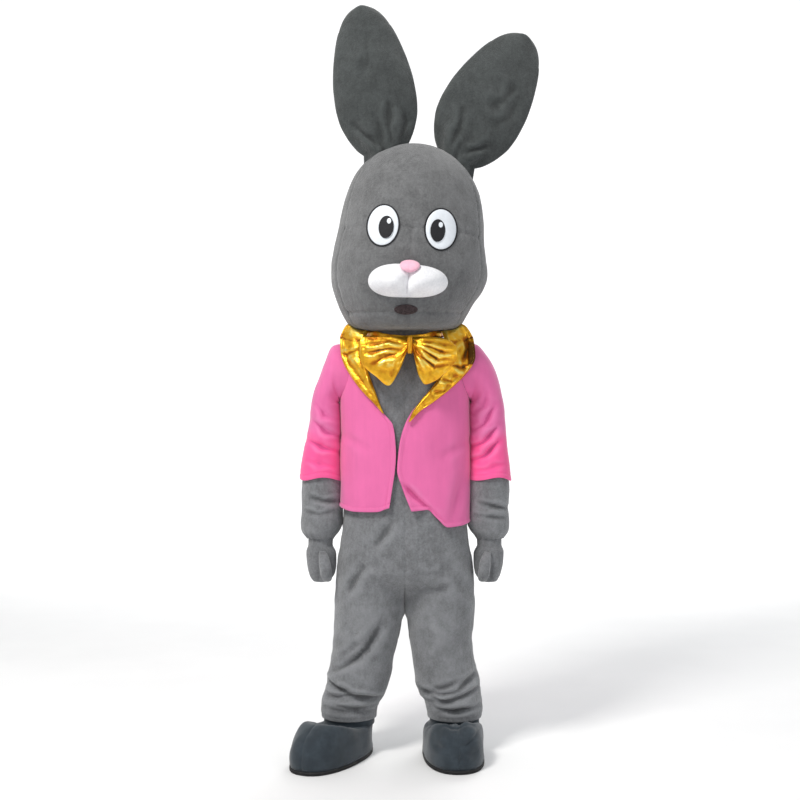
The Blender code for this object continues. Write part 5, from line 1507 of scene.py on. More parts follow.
# Creases of each ear as shares of its size across and up: the front's of one ear lie on the
# back of the other
EAR_CREASE_SIZE = (0.13, 0.45)
EAR_CREASES = {
    RIGHT: (
        (0.011, 0.01, (-0.075, 0.04), (-0.45, 0.12), (-0.7, 0.24)),
        (0.01, 0.009, (0.3, 0.03), (0.22, 0.16), (0.3, 0.34)),
        (0.008, 0.01, (0.62, 0.05), (0.7, 0.18), (0.55, 0.3)),
        (0.006, 0.014, (-0.35, 0.48), (-0.05, 0.62), (0.0, 0.8)),
    ),
    LEFT: (
        (0.011, 0.01, (0.1, 0.03), (0.42, 0.12), (0.66, 0.2)),
        (0.01, 0.009, (-0.35, 0.03), (-0.28, 0.18), (-0.45, 0.34)),
        (0.009, 0.012, (0.05, 0.4), (0.32, 0.5), (0.44, 0.66)),
        (0.008, 0.012, (0.35, 0.3), (0.6, 0.42), (0.62, 0.6)),
    ),
}

# Creases over each shoe: depth, half width, and places along and beside its middle, from the toe back
SHOE_CREASES = {
    RIGHT: (
        (0.007, 0.008, (0.012, -0.075), (0.035, 0.0), (0.012, 0.075)),
        (0.005, 0.008, (0.056, -0.06), (0.072, 0.0), (0.054, 0.062)),
        (0.0045, 0.012, (0.16, -0.035), (0.12, -0.07), (0.04, -0.09)),
    ),
    LEFT: (
        (0.01, 0.008, (0.0, -0.085), (0.06, -0.035), (0.135, 0.004)),
        (0.009, 0.008, (0.0, 0.075), (0.06, 0.03), (0.135, -0.004)),
        (0.006, 0.007, (0.108, -0.06), (0.134, 0.0), (0.108, 0.06)),
    ),
}

# The pinched toe of the left shoe: creases across the front view that meet in one place
TOE_PINCH = (
    (0.008, 0.006, (0.148, 0.078), (0.185, 0.086), (0.232, 0.112)),
    (0.007, 0.006, (0.15, 0.082), (0.166, 0.058), (0.18, 0.03)),
    (0.0055, 0.007, (0.15, 0.074), (0.146, 0.11), (0.136, 0.15)),
    (0.005, 0.007, (0.156, 0.08), (0.118, 0.07), (0.08, 0.08)),
    (0.004, 0.006, (0.156, 0.076), (0.194, 0.062), (0.226, 0.058)),
)

# The sleeves: armhole and panel that each starts from, how far it is drawn in at the shoulder, its
# rings by turn and height, its cloth, and how much closer to the trunk it hangs than its solid
SLEEVES = {
    "suit_sleeve": dict(
        armhole=SUIT_ARMHOLE, panel=trunk_point, arm=SUIT_ARM, near=SLEEVE_INSET, flat=SLEEVE_INSET - 0.001,
        angles=(16, 50, 90), heights=(1.04, 0.94, 0.88, 0.85, 0.825, 0.80, 0.77, 0.74, 0.715, WRIST),
        thick=PLUSH, slot="grey_plush", closer=0.018,
    ),
    "jacket_sleeve": dict(
        armhole=JACKET_ARMHOLE, panel=jacket_point, arm=JACKET_ARM, near=0.0, flat=0.0,
        angles=(8, 20, 36, 54, 72, 90), heights=(1.08, 1.03, 0.99, 0.95, 0.915, JACKET_SLEEVE_HEM),
        thick=VELBOA, slot="pink_velboa", closer=0.014,
    ),
}

# The jacket's panels: length and seed of their swell, edges that are sewn or hemmed, how thick a hem
JACKET_PANELS = {
    FRONT: dict(swell=(0.13, 31), seams=("high_u",), hems=("low_u", "low_v"), turned=0.0020),
    BACK: dict(swell=(0.14, 32), seams=("low_u", "high_u"), hems=("low_v",), turned=0.0012),
}


def on_its_face(grid, face):
    """Keeps a panel in front of the side seams, or behind them."""
    kept = grid.copy()
    kept[..., 1] = face * np.maximum(face * grid[..., 1], 0)
    return kept


def legs_closed(grid, height, side):
    """Brings the legs together just under the crotch, each on its own side of the middle."""
    low, high = LEGS_MEET
    between_legs = ease((high - height) / 0.03) * ease((height - low) / 0.05)
    near_middle = ease(1.3 - side * grid[..., 0] / 0.03)
    grid[..., 0] -= side * LEGS_CLOSE * between_legs * near_middle
    grid[..., 0] = side * np.maximum(side * grid[..., 0], 0)
    return grid


def suit_quarter(side, face):
    """A quarter of the suit, from the neck down its leg to the hem."""
    heights = np.concatenate([
        np.linspace(HEM_HEIGHT, 0.155, 14)[:-1],
        np.linspace(0.155, 0.50, 92)[:-1],
        np.linspace(0.50, 0.84, 62)[:-1],
        np.linspace(0.84, SUIT_ARMHOLE[0], 20)[:-1],
        armhole_heights(SUIT_ARMHOLE, 26),
        np.linspace(SUIT_ARMHOLE[1], NECK_TOP, 12)[1:],
    ])
    surface = suit_surface(side, face)
    u, v = grid_of(closing_in(44), heights)
    points = surface(u, v)
    normals = grid_normals(surface, u, v, -side * face)
    outer = pressed(points, normals, SUIT_FOLDS)
    loose = ease((0.9 - v) / 0.1) * ease((v - 0.13) / 0.05)
    outer = sunk(outer, normals, 0.0045 * drift(points, 0.16, 11) * loose)
    outer = sunk(outer, normals, 0.0016 * drift(points, 0.05, 12) * loose)
    outer = seamed(outer, normals, ("low_u", "high_u"), 0.0022, 0.006)
    outer = hemmed(outer, normals, ("low_v",), 0.010, 0.0008)
    inner = outer - normals * PLUSH
    outer, inner = [on_its_face(legs_closed(grid, v, side), face) for grid in (outer, inner)]
    node = "suit_%s_%s" % (FACE_NAMES[face], side_name(side))
    sewn(node, "grey_plush", outer, inner, relief(outer, normals, 3, 0.010))


def armhole_ring(side, sleeve):
    """The armhole's edge as a ring, tucked a little into its panel."""
    heights = armhole_heights(sleeve["armhole"], SLEEVE_COLUMNS // 2)
    angle = side_angle(heights, sleeve["armhole"])
    front = sleeve["panel"](angle, heights)
    back = sleeve["panel"](math.pi - angle, heights)
    ring = np.concatenate([front, back[-2:0:-1]])
    ring[:, 0] = side * (ring[:, 0] - SLEEVE_TUCK)
    return ring


def sleeve_rings(side, sleeve):
    """Rings of a sleeve, from the armhole round the shoulder and down. Columns run from the
    underarm over the front to the outside and back."""
    name = side_name(side)
    turn = around(SLEEVE_COLUMNS)
    rings = [armhole_ring(side, sleeve)]
    for angle in sleeve["angles"]:
        near = SHOULDER.read("near", angle) + sleeve["near"]
        far = SHOULDER.read("far_" + name, angle) - sleeve["near"]
        reach = (near + far) / 2 - (far - near) / 2 * np.cos(turn)
        way = math.radians(angle)
        x = UNDERARM_X + reach * math.sin(way)
        y = -(SHOULDER.read("half_depth", angle) - sleeve["flat"]) * np.sin(turn)
        z = UNDERARM_Z + reach * math.cos(way)
        rings.append(np.stack([side * x, y, z], axis=-1))
    for height in sleeve["heights"]:
        inner = sleeve["arm"].read("inner", height)
        outer = sleeve["arm"].read("outer_" + name, height)
        x = (inner + outer) / 2 - (outer - inner) / 2 * np.cos(turn)
        y = -sleeve["arm"].read("half_depth", height) * np.sin(turn)
        rings.append(np.stack([side * x, y, np.full_like(x, height)], axis=-1))
    return np.array(rings)


def gathered(outer, normals):
    """Draws the wrist in with small even gathers that fade up the sleeve."""
    up = from_edge(outer, "high_v")
    ripple = 0.5 + 0.5 * np.cos(np.arange(outer.shape[1]) * 2 * math.pi / 4)
    return sunk(outer, normals, 0.0026 * ripple * np.exp(-up / 0.022))


def arched_hem(outer, normals, side):
    """Turns up the jacket sleeve's hem, which rises and falls round the arm."""
    up = from_edge(outer, "high_v")
    turn = around(SLEEVE_COLUMNS)
    arch = 0.007 * (1 - np.cos(2 * turn)) / 2 + 0.004 * np.sin(3 * turn + 2.0 * side)
    outer[..., 2] += arch * np.exp(-up / 0.06)
    return hemmed(outer, normals, ("high_v",), SLEEVE_HEM, 0.0012)


def make_sleeve(kind, side):
    """One sleeve: the solid's rings, drawn finer, with creases, the armhole seam and the hem."""
    sleeve = SLEEVES[kind]
    rings = between_rings(sleeve_rings(side, sleeve), 104)
    normals = tube_normals(rings)
    outer = pressed(rings, normals, SLEEVE_FOLDS)
    outer = sunk(outer, normals, 0.0022 * drift(rings, 0.11, 21 + side))
    near_seam = np.exp(-((from_edge(rings, "low_v") / 0.012) ** 2))[..., None]
    outer = outer * (1 - near_seam) + rings * near_seam
    towards_body = np.clip(-side * normals[..., 0], 0, 1) ** 1.5
    hanging = ease((UNDERARM_Z + 0.034 - rings[..., 2]) / 0.04) * ease((rings[..., 2] - WRIST) / 0.06)
    outer = sunk(outer, normals, -sleeve["closer"] * hanging * towards_body)
    outer = seamed(outer, normals, ("low_v",), 0.0006, 0.005)
    outer = arched_hem(outer, normals, side) if kind == "jacket_sleeve" else gathered(outer, normals)
    inner = outer - normals * sleeve["thick"]
    inner[0] = outer[0] + (outer[0].mean(axis=0) - outer[0]) * (sleeve["thick"] / 0.08)
    inner[0][:, 0] = outer[0][:, 0]
    tone = relief(outer, normals, 2, 0.005)
    tone[:6] = 0.5
    node = "%s_%s" % (kind, side_name(side))
    sewn(node, sleeve["slot"], outer, inner, tone, wrap=True)
    return outer, normals


def jacket_panel(face, node, surface, across, outward, *rests_on):
    """One panel of the jacket. It returns the outer face and the directions out of it."""
    panel = JACKET_PANELS[face]
    heights = np.concatenate([
        np.linspace(JACKET_HEM, 0.83, 12)[:-1],
        np.linspace(0.83, JACKET_ARMHOLE[0], 80)[:-1],
        armhole_heights(JACKET_ARMHOLE, 26),
        np.linspace(JACKET_ARMHOLE[1], JACKET_TOP, 6)[1:],
    ])
    u, v = grid_of(across, heights)
    normals = grid_normals(surface, u, v, outward)
    points = surface(u, v)
    outer = pressed(points, normals, JACKET_FOLDS)
    outer = sunk(outer, normals, 0.0035 * drift(points, *panel["swell"]) * ease((1.30 - v) / 0.1))
    outer = seamed(outer, normals, panel["seams"], 0.0006, 0.005)
    outer = hemmed(outer, normals, panel["hems"], JACKET_STITCH, panel["turned"])
    walls = [on_its_face(grid, face) for grid in (outer, outer - normals * VELBOA)]
    item = sewn(node, "pink_velboa", *walls, relief(walls[0], normals, 3, 0.011))
    return outer, normals


def make_jacket():
    """Two fronts, the back and two sleeves, and the stitches along their hems."""
    sewing = []
    for side in SIDES:
        name = side_name(side)
        outer, normals = jacket_panel(FRONT, "jacket_front_" + name, jacket_front_surface(side),
                                      closing_in(48), side, "suit_front_%s_sewn" % name)
        sewing.append(row_along(outer, normals, "low_v", JACKET_STITCH))
        sewing.append(row_along(outer[:88], normals[:88], "low_u", JACKET_STITCH))
    outer, normals = jacket_panel(BACK, "jacket_back", jacket_back_surface, 2 * closing_in(84, 0.4) - 1,
                                  -1.0, "suit_back_right_sewn", "suit_back_left_sewn")
    sewing.append(row_along(outer, normals, "low_v", JACKET_STITCH))
    for side in SIDES:
        closed = [np.concatenate([part, part[:, :1]], axis=1) for part in make_sleeve("jacket_sleeve", side)]
        sewing.append(row_along(*closed, "high_v", SLEEVE_HEM))
    stitches("jacket_stitching", "pink_velboa", PINK_THREAD, sewing)


def standing_collar(across, part):
    """The collar's surface, its shoulder ends standing up to the jaw."""
    points = collar_surface(across, part)
    points[..., 2] += COLLAR_STAND * ease((np.abs(part) - 0.45) / 0.35) * (0.6 + 0.4 * across)
    return points


def lapel_over_shoulder(side):
    """The lapel's surface, carried on over the shoulder to the collar's end in a last row."""
    on_front = lapel_surface(side)

    def surface(across, row):
        points = on_front(across, np.minimum(row, LAPEL_LAST_ROW))
        end = standing_collar(across, np.full_like(across, float(side)))
        share = np.clip(row - LAPEL_LAST_ROW, 0, 1)[..., None]
        points = points * (1 - share) + end * share
        points[..., 2] += 0.012 * np.sin(math.pi * share[..., 0])
        return points

    return surface


def make_lapel(side):
    """One gold lapel. It returns the line of the stitches along its outer edge."""
    surface = lapel_over_shoulder(side)
    over = LAPEL_LAST_ROW + 1
    rows = np.concatenate([np.linspace(0, LAPEL_LAST_ROW, 110), np.linspace(LAPEL_LAST_ROW, over, 16)[1:]])
    u, v = grid_of(closing_in(40, 0.4), rows)
    normals = grid_normals(surface, u, v, side)
    points = surface(u, v)
    x, z = points[..., 0], points[..., 2]
    lift = 0.0042 * crumple(points, 0.06, 41 + side) + 0.0010 * crumple(points, 0.02, 43)
    lift = np.maximum(lift + 0.004 - crease_depth(x, z, LAPEL_CREASES), 0)
    lift = lift * ease(u * 6 + 0.2) * ease((1 - u) * 6 + 0.2) * ease((over - v) * 3 + 0.1)
    outer = hemmed(sunk(points, normals, -lift), normals, ("high_u",), GOLD_STITCH, 0.0006)
    low, high = SHADED_CORNER_HEIGHTS
    # Painted shade: the corner's fold tone is lowered, so the gold finish paints it brown
    corner = ease((x - SHADED_CORNER_X) / 0.006) * ease((z - low) / 0.006) * ease((high - z) / 0.01)
    tone = relief(outer, normals, 2, 0.0045) * (1 - 0.8 * corner)
    item = sewn("lapel_" + side_name(side), "gold_lame", outer, outer - normals * LAME, tone)
    "jacket_front_%s_sewn" % side_name(side)
    return row_along(outer, normals, "high_u", GOLD_STITCH)


def make_collar():
    """The gold collar round the back of the neck. It returns the line of its stitches."""
    u, v = grid_of(closing_in(28, 0.4), np.linspace(-1, 1, 150))
    normals = grid_normals(standing_collar, u, v, -1.0)
    points = standing_collar(u, v)
    lift = 0.0034 * crumple(points, 0.06, 44) + 0.001 * crumple(points, 0.02, 45)
    lift = lift * ease((1 - np.abs(v)) * 20 + 0.1) * ease(u * 6 + 0.25) * ease((1 - u) * 6 + 0.25)
    outer = hemmed(sunk(points, normals, -lift), normals, ("high_u",), GOLD_STITCH, 0.0006)
    item = sewn("collar", "gold_lame", outer, outer - normals * LAME, relief(outer, normals, 2, 0.004))
    return row_along(outer, normals, "high_u", GOLD_STITCH)


def head_panel(node, first, last, columns, low_row, high_row):
    """A panel of the head between two turns from the face and two rows of its table."""
    at_neck, at_crown = low_row == 0, high_row == CROWN_ROW
    rows = 8 * (high_row - low_row) + 8
    u, v = grid_of(first + (last - first) * closing_in(columns, 0.45),
                   low_row + (high_row - low_row) * closing_in(rows, 0.35))
    outer = head_ring_point(u, v)
    normals = grid_normals(head_ring_point, u, np.clip(v, 0.02, CROWN_ROW - 0.05), 1.0)
    if at_crown:
        normals[-1] = (0, 0, 1)
    lining = outer - normals * FOAM_PLUSH
    face = np.exp(-((outer[..., 0] / 0.19) ** 4) - ((outer[..., 2] - 1.56) / 0.21) ** 4)
    face = face * ease(-outer[..., 1] / 0.05)
    soft = (1 - face) * ease((v - 0.5) / 1.5) * ease((CROWN_ROW - 0.6 - v) / 1.5)
    depth = 0.0045 * drift(outer, 0.20, 51) + 0.0012 * drift(outer, 0.05, 52)
    edges = ["low_u", "high_u"]
    if not at_neck:
        edges.append("low_v")
    if not at_crown:
        edges.append("high_v")
    moved = seamed(sunk(outer, normals, depth * soft), normals, edges, 0.0026, 0.007, 0.3)
    if at_crown:
        moved[-1] = outer[-1]
    if at_neck:
        moved[0] = outer[0]
        lining[0, :, :2] = outer[0, :, :2]
    item = sewn(node, "head_plush", lean(moved), lean(lining), relief(moved, normals, 2, 0.006))


def make_head():
    """Chin, two cheeks, forehead with the crown, and two backs."""
    beside = math.pi * FACE_COLUMNS / HEAD_COLUMNS
    head_panel("head_chin", -beside, beside, 72, 0, CHEEK_ROW)
    head_panel("head_cheek_right", -beside, 0, 40, CHEEK_ROW, BROW_ROW)
    head_panel("head_cheek_left", 0, beside, 40, CHEEK_ROW, BROW_ROW)
    head_panel("head_forehead", -beside, beside, 72, BROW_ROW, CROWN_ROW)
    head_panel("head_back_left", beside, math.pi, 64, 0, CROWN_ROW)
    head_panel("head_back_right", -math.pi, -beside, 64, 0, CROWN_ROW)


def pad_grid(rings, columns):
    """Turns round a pad, and shares of its reach from the edge to the middle."""
    u, v = grid_of(around(columns), np.cos(np.linspace(0, math.pi / 2, rings + 1)) ** 0.5)
    v[-1] = 0.0
    return u, v


def pad_between(node, slot, x, z, front, back):
    """A pad on the face between its front and its back, leaning with the head."""
    outer, inner = [lean(np.stack([x, y, z], axis=-1)) for y in (front, back)]
    return sewn(node, slot, outer, inner, wrap=True, tip=True)


def face_pad(node, slot, centre, half, rise, base, rings, columns, outline=None, bulge=None):
    """A piece laid on the face, or on what lies there: a domed patch with a rounded edge."""
    u, v = pad_grid(rings, columns)
    stretch = outline(u) if outline else 1.0
    x = centre[0] + v * half[0] * stretch * np.sin(u)
    z = centre[1] + v * half[1] * stretch * np.cos(u)
    back = face_y(x, z) - base
    front = back - PAD_EDGE - rise * dome(v)
    if bulge:
        front = front - bulge(x, z, v)
    return pad_between(node, slot, x, z, front, back)


def puffs(x, z, reach):
    """The muzzle's two puffs with the stitched dip between them."""
    dip = np.exp(-np.abs(x - MUZZLE_CENTRE[0]) / 0.011) * dome(reach)
    return muzzle_bulge(x, z, reach) * (1 - 0.62 * dip) - 0.008 * dip


def make_muzzle():
    """The white muzzle and the mesh of the mouth under it."""
    item = face_pad("muzzle", "white_fleece", MUZZLE_CENTRE, MUZZLE_HALF, MUZZLE_RISE, MUZZLE_BASE,
                    40, 128, muzzle_outline, puffs)
    item = face_pad("mouth_mesh", "mouth_mesh", MOUTH_CENTRE, MOUTH_HALF, MOUTH_RISE, MOUTH_BASE, 14, 72)


def make_eye(side):
    """An eye in its layers: felt backing, white, pupil and glint."""
    name = side_name(side)
    eye = (side * EYE_X, EYE_HEIGHT)
    pupil = (side * PUPIL_X, PUPIL_HEIGHT)
    glint = (side * PUPIL_X + GLINT_ASIDE, GLINT_HEIGHT)
    rim_half = (EYE_HALF[0] + RIM_WIDTH, EYE_HALF[1] + RIM_WIDTH)
    item = face_pad("eye_rim_" + name, "black_felt", eye, rim_half, 0.0, RIM_BASE, 24, 96)
    "head_cheek_%s_sewn" % name
    face_pad("eye_white_" + name, "eye_white", eye, EYE_HALF, EYE_RISE, EYE_BASE, 24, 96)
    item = face_pad("pupil_" + name, "black_felt", pupil, PUPIL_HALF, PUPIL_RISE, PUPIL_BASE, 18, 72)
    "eye_white_%s_sewn" % name
    face_pad("glint_" + name, "eye_white", glint, GLINT_HALF, GLINT_RISE, GLINT_BASE, 10, 40)


def make_nose():
    """The nose on top of the muzzle, wider above, seated in the dip between the puffs."""
    u, v = pad_grid(20, 72)
    stretch = 1 + 0.12 * np.sin(u) ** 2 * np.cos(u)
    x = NOSE_CENTRE[0] + v * NOSE_HALF[0] * stretch * np.sin(u)
    z = NOSE_CENTRE[1] + v * NOSE_HALF[1] * np.cos(u)
    away = np.hypot((x - MUZZLE_CENTRE[0]) / MUZZLE_HALF[0], (z - MUZZLE_CENTRE[1]) / MUZZLE_HALF[1])
    seat = face_y(x, z) - MUZZLE_BASE - PAD_EDGE - MUZZLE_RISE * dome(away) + NOSE_SEAT
    front = seat - muzzle_bulge(x, z, away) - PAD_EDGE - NOSE_RISE * dome(v)
    item = pad_between("nose", "pink_fleece", x, z, front, seat - puffs(x, z, away))


def rounded_tip(points, part):
    """Rounds an ear's tip: its last stretch keeps its width for longer and turns in at the end."""
    middle = points.mean(axis=1, keepdims=True)
    half = np.linalg.norm(points[:, :1] - points[:, -1:], axis=-1, keepdims=True) / 2
    place = np.clip((part - EAR_ROUND_FROM) / (1 - EAR_ROUND_FROM), 0, 1)[:, :1, None]
    start = half[np.argmax(place[:, 0, 0] > 0)]
    wanted = start * np.sqrt(np.maximum((1 - place) * (1 + EAR_TIP_TURN * place), 0.0004))
    return middle + (points - middle) * np.where(place > 0, wanted / half, 1.0)


def ear_creases(side, face):
    """The creases of one face of an ear, from shares of its size to metres across and up."""
    wide, tall = EAR_CREASE_SIZE
    return [(deep, width, *[(across * wide, up * tall) for across, up in route])
            for deep, width, *route in EAR_CREASES[-side * face]]


def ear_half(side, face):
    """The front or the back of a stuffed ear, its root set into the crown."""
    across = np.sin(np.linspace(-math.pi / 2, math.pi / 2, 50))
    u, v = grid_of(across, closing_in(96, 0.35))
    outer = rounded_tip(ear_surface(side, face)(u, v), v)
    middle = ear_middle(u, v)
    keep = np.minimum(1.0, np.abs(outer[..., 1] - middle) / 0.012)
    depth = crease_depth(u * EAR_CREASE_SIZE[0], v * EAR_CREASE_SIZE[1], ear_creases(side, face))
    depth = depth + 0.004 * drift(outer * (1, 3, 1), 0.13, 61 + side + 3 * face)
    outer[..., 1] -= face * depth * keep * 0.9
    tone = relief(outer, np.full_like(outer, (0, face, 0)), 2, 0.005)
    inner = outer.copy()
    inner[..., 1] = middle
    for grid in (outer, inner):
        grid[0, :, 2] = crown_height(grid[0, :, 0], grid[0, :, 1]) - EAR_ROOT_SUNK
    node = "ear_%s_%s" % (FACE_NAMES[face], side_name(side))
    sewn(node, "ear_plush", lean(outer), lean(inner), tone)


def mitten_hand(side):
    """One hand, open at the wrist, with an elastic gather there and dips between the fingers."""
    turn = around(64)
    u, v = grid_of(turn, np.concatenate([
        np.linspace(0.712, WRIST, 8)[:-1],
        np.linspace(WRIST, 0.5700, 44)[:-1],
        np.linspace(0.57, 0.5555, 14),
    ]))
    near, far = MITTEN.read("inner", v), MITTEN.read("outer", v)
    near = near - MITTEN_FULLER * ease((0.672 - v) / 0.03) * ease((v - 0.553) / 0.03)
    x = (near + far) / 2 - (far - near) / 2 * np.cos(u)
    y = MITTEN.read("middle_y", v) - MITTEN.read("half_depth", v) * np.sin(u)
    outer = np.stack([side * x, y, v], axis=-1)
    axis = outer.mean(axis=1, keepdims=True)
    size = np.linalg.norm(outer - axis, axis=-1, keepdims=True)
    out = (outer - axis) / size
    finger = np.exp(-(((x - (near * 0.42 + far * 0.58)) / 0.007) ** 2)) * ease((0.645 - v) / 0.06)
    ripple = 0.5 + 0.5 * np.cos(u * 16)
    depth = 0.006 * finger * ease(np.abs(np.sin(u)) * 2 - 0.5)
    depth = depth + 0.0020 * ripple * np.exp(-(((v - 0.688) / 0.010) ** 2)) * ease((0.704 - v) / 0.01)
    depth = depth + 0.002 * drift(outer, 0.06, 71 + side) * ease((0.68 - v) / 0.02)
    dent = out * (depth * ease((v - 0.556) / 0.012))[..., None]
    inner = axis + out * (size - GLOVE) - dent
    outer = outer - dent
    inner[-1, :, 2] += GLOVE * 0.9
    tip = axis[-1:] - (0, 0, MITTEN_TIP_DROP)
    outer = np.concatenate([outer, np.repeat(tip, len(turn), axis=1)])
    inner = np.concatenate([inner, np.repeat(tip + (0, 0, GLOVE), len(turn), axis=1)])
    node = "mitten_hand_" + side_name(side)
    sewn(node, "grey_plush", outer, inner, wrap=True, tip=True)


def mitten_thumb(side):
    """A stuffed thumb that lies on the front of its hand."""
    u, v = grid_of(around(32), THUMB.at[0] + (THUMB.at[-1] - THUMB.at[0]) * closing_in(28, 0.7))
    radius = THUMB.read("radius", v)
    x = THUMB.read("middle_x", v) - radius * np.cos(u)
    hand_front = MITTEN.read("middle_y", v) - MITTEN.read("half_depth", v)
    y = hand_front + THUMB_SEAT - radius - radius * np.sin(u)
    node = "mitten_thumb_" + side_name(side)
    item = settle(stuffed(node + "_sewn", np.stack([side * x, y, v], axis=-1)), "grey_plush", node)


def bow_loop(side):
    """A puffed loop of the bow, pleated towards the knot."""
    table = BOW[side]
    u, v = grid_of(closing_in(72, 0.5), closing_in(72, 0.5))
    sideways = table.at[0] + (table.at[-1] - table.at[0]) * u
    low, high = table.read("low", sideways), table.read("high", sideways)
    x, z = side * sideways, low + (high - low) * v
    swell = BOW_EDGE + table.read("puff", sideways) * np.sin(math.pi * np.clip(v, 0, 1)) ** 0.6
    swell += PLEAT_DEPTH * np.cos(BOW_PLEATS * math.pi * v) * (1 - u) * np.sin(math.pi * v)
    creases = crease_depth(x, z, BOW_CREASES[side])
    loose = np.sin(math.pi * v) ** 0.5 * ease(u * 8 + 0.4) * ease((1 - u) * 8)
    middle = bow_middle_y(z)
    grids, tones = [], []
    for face in (FRONT, BACK):
        spot = np.stack([x, middle * face, z], axis=-1)
        rough = 0.0030 * crumple(spot, 0.06, 81 + side) + 0.0010 * crumple(spot, 0.02, 83)
        puff = np.maximum(swell - (rough + creases) * loose, 0.0007)
        grids.append(np.stack([x, middle + face * puff, z], axis=-1))
        tones.append(relief(grids[-1], np.full_like(spot, (0, face, 0)), 2, 0.0042))
    item = sewn("bow_loop_" + side_name(side), "gold_lame", *grids, np.concatenate(tones))


def bow_knot():
    """The band gathered round the middle of the bow, which rests on the neckband."""
    half_x, half_y, half_z = KNOT_HALF
    u, v = grid_of(around(64), np.linspace(-1, 1, 40))
    height = KNOT_HEIGHT + half_z * v
    middle = bow_middle_y(KNOT_HEIGHT)
    band_front = -TRUNK.read("half_depth", height) - BAND_LIFT - BAND_THICKNESS
    waist = half_x * (KNOT_WAIST + (1 - KNOT_WAIST) * v**2)
    x = BOW_MIDDLE_X + waist * bend_power(np.sin(u), 0.8) * np.sqrt(1 - 0.5 * v**4)
    pinch = 0.0016 * (0.5 + 0.5 * np.cos((x - BOW_MIDDLE_X) * 1300 + 2.2 * v))
    front = middle - (half_y - pinch) * bend_power(np.cos(u), 0.8)
    back = middle + (band_front + KNOT_SEAT - middle) * np.sqrt(np.maximum(-np.cos(u), 0))
    rings = np.stack([x, np.where(front > middle, back, front), height], axis=-1)
    settle(stuffed("bow_knot_sewn", rings), "gold_lame", "bow_knot")


def bow_band():
    """The neckband that carries the bow."""
    turn, across = np.meshgrid(around(168), np.linspace(-1, 1, 12))
    outer, normals = band_surface(across, turn)
    inner = outer - normals * BAND_THICKNESS
    outer = sunk(outer, normals, -0.0012 * crumple(outer, 0.03, 85) * ease((1 - np.abs(across)) * 3))
    item = sewn("bow_band", "gold_lame", outer, inner, wrap=True)


def shoe_upper(side, label, first):
    """Half of a shoe's upper, from one turn of its outline on. It returns the line of its stitches."""
    middle, way, beside = shoe_frame(side)
    u, v = grid_of(first + side * math.pi * closing_in(56, 0.4), SHOE_ROWS * closing_in(72, 0.2))
    outer, inner = [shoe_surface(side, u, v, inset) for inset in (0.0, SHOE_WALL)]
    normals = unit(np.cross(np.gradient(outer, axis=1), np.gradient(outer, axis=0)))
    normals *= np.sign((normals * (outer - inner)).sum())
    flat = outer[..., :2] - middle
    top = ease((outer[..., 2] - 0.045) / 0.03) * ease((6.0 - v) / 1.2)
    depth = crease_depth(flat @ way, flat @ beside, SHOE_CREASES[side]) * top
    depth = depth + 0.003 * drift(outer, 0.07, 91 + side) * ease(v / 1.2) * ease((6.5 - v) / 1.5)
    if side == LEFT:
        pinch = crease_depth(outer[..., 0], outer[..., 2], TOE_PINCH)
        depth = depth + pinch * ease(-normals[..., 1] * 2) * ease((outer[..., 2] - 0.016) / 0.02)
    moved = seamed(sunk(outer, normals, depth), normals, ("low_u", "high_u", "low_v"), 0.0018, 0.004, 0.3)
    moved[-1] = outer[-1]
    node = "shoe_%s_%s" % (label, side_name(side))
    item = sewn(node, "shoe_cloth", moved, inner - (outer - moved), relief(moved, normals, 2, 0.006))
    return row_along(moved, normals, "low_v", SHOE_STITCH)


def shoe_sole(side):
    """A flat sole with rounded edges and a groove round its side."""
    middle = np.array(SHOES[side]["middle"])
    edge = sole_outline(side, around(120))
    rings = [np.column_stack([middle + (edge - middle) * grow, np.full(len(edge), height)])
             for height, grow in SOLE_PROFILE]
    node = "shoe_sole_" + side_name(side)
    settle(stuffed(node + "_moulded", np.array(rings)), "shoe_sole", node)


def make_shoes():
    """Outer and inner half of each upper, the sole, and the stitches just above it."""
    sewing = []
    for side in SIDES:
        sewing.append(shoe_upper(side, "outer", 0.0))
        sewing.append(shoe_upper(side, "inner", side * math.pi))
        shoe_sole(side)
    stitches("shoe_stitching", "shoe_cloth", DARK_THREAD, sewing, pitch=0.006, length=0.0044, wide=0.0013,
             high=0.001)


# The studio lamps: place, what each points at, size, power and colour
LAMPS = {
    "key_lamp": ((-1.9, -2.6, 3.2), (0, 0, -0.3), 1.1, 170, (1.0, 0.98, 0.95)),
    "fill_lamp": ((2.8, -3.2, 0.6), (0, 0, -0.3), 1.6, 20, (0.94, 0.97, 1.0)),
    "back_lamp": ((1.2, 3.2, 2.4), (0, 0, 0.1), 1.6, 60, (1.0, 1.0, 1.0)),
}
CAMERA_PLACE = (-0.016, -4.0, -0.26)
CAMERA_LENS = 55.4


def light(name, place, aim, size, power, colour):
    """A square soft lamp that points at a place."""
    lamp = bpy.data.lights.new(name, "AREA")
    lamp.size = size
    lamp.energy = power
    lamp.color = colour
    item = bpy.data.objects.new(name, lamp)
    item.location = place
    way = np.array(place) - np.array(aim)
    item.rotation_euler = (math.atan2(math.hypot(way[0], way[1]), way[2]), 0, math.atan2(way[0], -way[1]))
    bpy.context.scene.collection.objects.link(item)


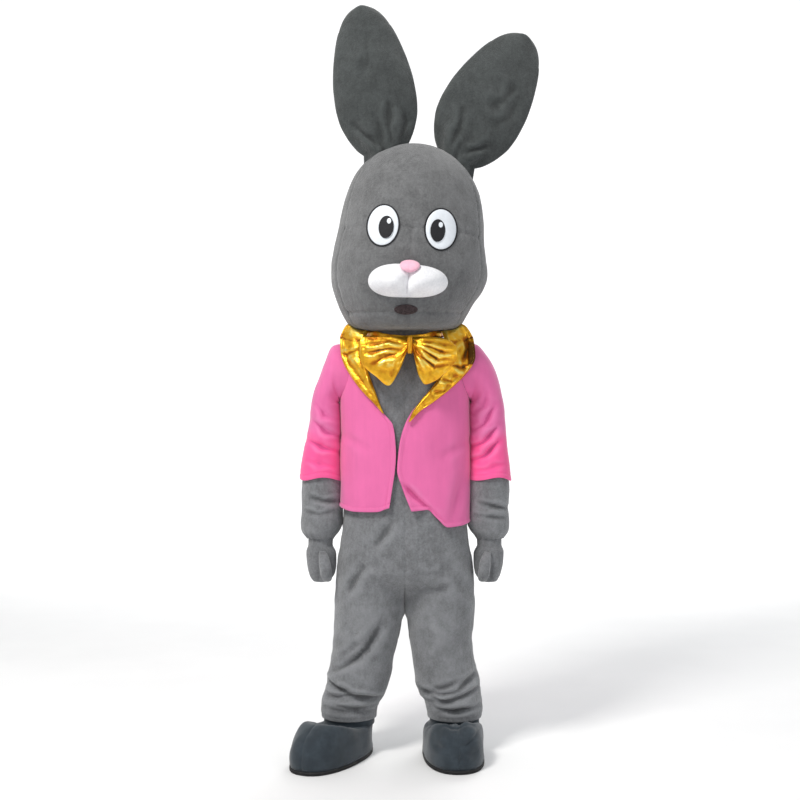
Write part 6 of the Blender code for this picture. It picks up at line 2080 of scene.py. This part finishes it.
def paper_sweep():
    """Pale paper on the floor that bends up behind the costume."""
    half_width, front, bend_at, bend, top = 12.0, -12.0, 3.6, 2.4, 9.0
    turn = np.linspace(0, math.pi / 2, 25)
    depth = np.concatenate([[front], bend_at + bend * np.sin(turn), [bend_at + bend]])
    height = np.concatenate([[0.0], bend * (1 - np.cos(turn)), [top]])
    sweep = [np.column_stack([np.full_like(depth, x), depth, height]) for x in (-half_width, half_width)]
    number = np.arange(2 * len(depth)).reshape(2, -1)
    faces = faces_between(number[:1], number[1:], False, False)
    paper = shape("studio_paper", np.concatenate(sweep), faces)
    paper.data.materials.append(studio_paper("studio_paper"))


def make_studio():
    """Paper, soft lamps and the camera in front of the costume at chest height."""
    paper_sweep()
    world = bpy.data.worlds.new("studio")
    world.use_nodes = True
    sky = world.node_tree.nodes["Background"]
    sky.inputs["Color"].default_value = (0.96, 0.98, 1.0, 1.0)
    sky.inputs["Strength"].default_value = 0.50
    bpy.context.scene.world = world
    for name, lamp in LAMPS.items():
        light(name, *lamp)
    lens = bpy.data.cameras.new("camera")
    lens.lens = CAMERA_LENS
    lens.sensor_width = 36.0
    camera = bpy.data.objects.new("camera", lens)
    camera.location = CAMERA_PLACE
    camera.rotation_euler = (math.pi / 2, 0, 0)
    bpy.context.scene.collection.objects.link(camera)
    bpy.context.scene.camera = camera
    bpy.context.scene.view_settings.view_transform = "Standard"


make_studio()
for side in SIDES:
    for face in (FRONT, BACK):
        suit_quarter(side, face)
for side in SIDES:
    make_sleeve("suit_sleeve", side)
make_jacket()
gold_edges = [make_lapel(RIGHT), make_lapel(LEFT), make_collar()]
stitches("lapel_stitching", "gold_lame", GOLD_THREAD, gold_edges, pitch=0.0046)
make_head()
make_muzzle()
make_eye(RIGHT)
make_eye(LEFT)
make_nose()
for side in SIDES:
    for face in (FRONT, BACK):
        ear_half(side, face)
for side in SIDES:
    mitten_hand(side)
    mitten_thumb(side)
bow_loop(RIGHT)
bow_loop(LEFT)
bow_knot()
bow_band()
make_shoes()

bpy.context.view_layer.update()
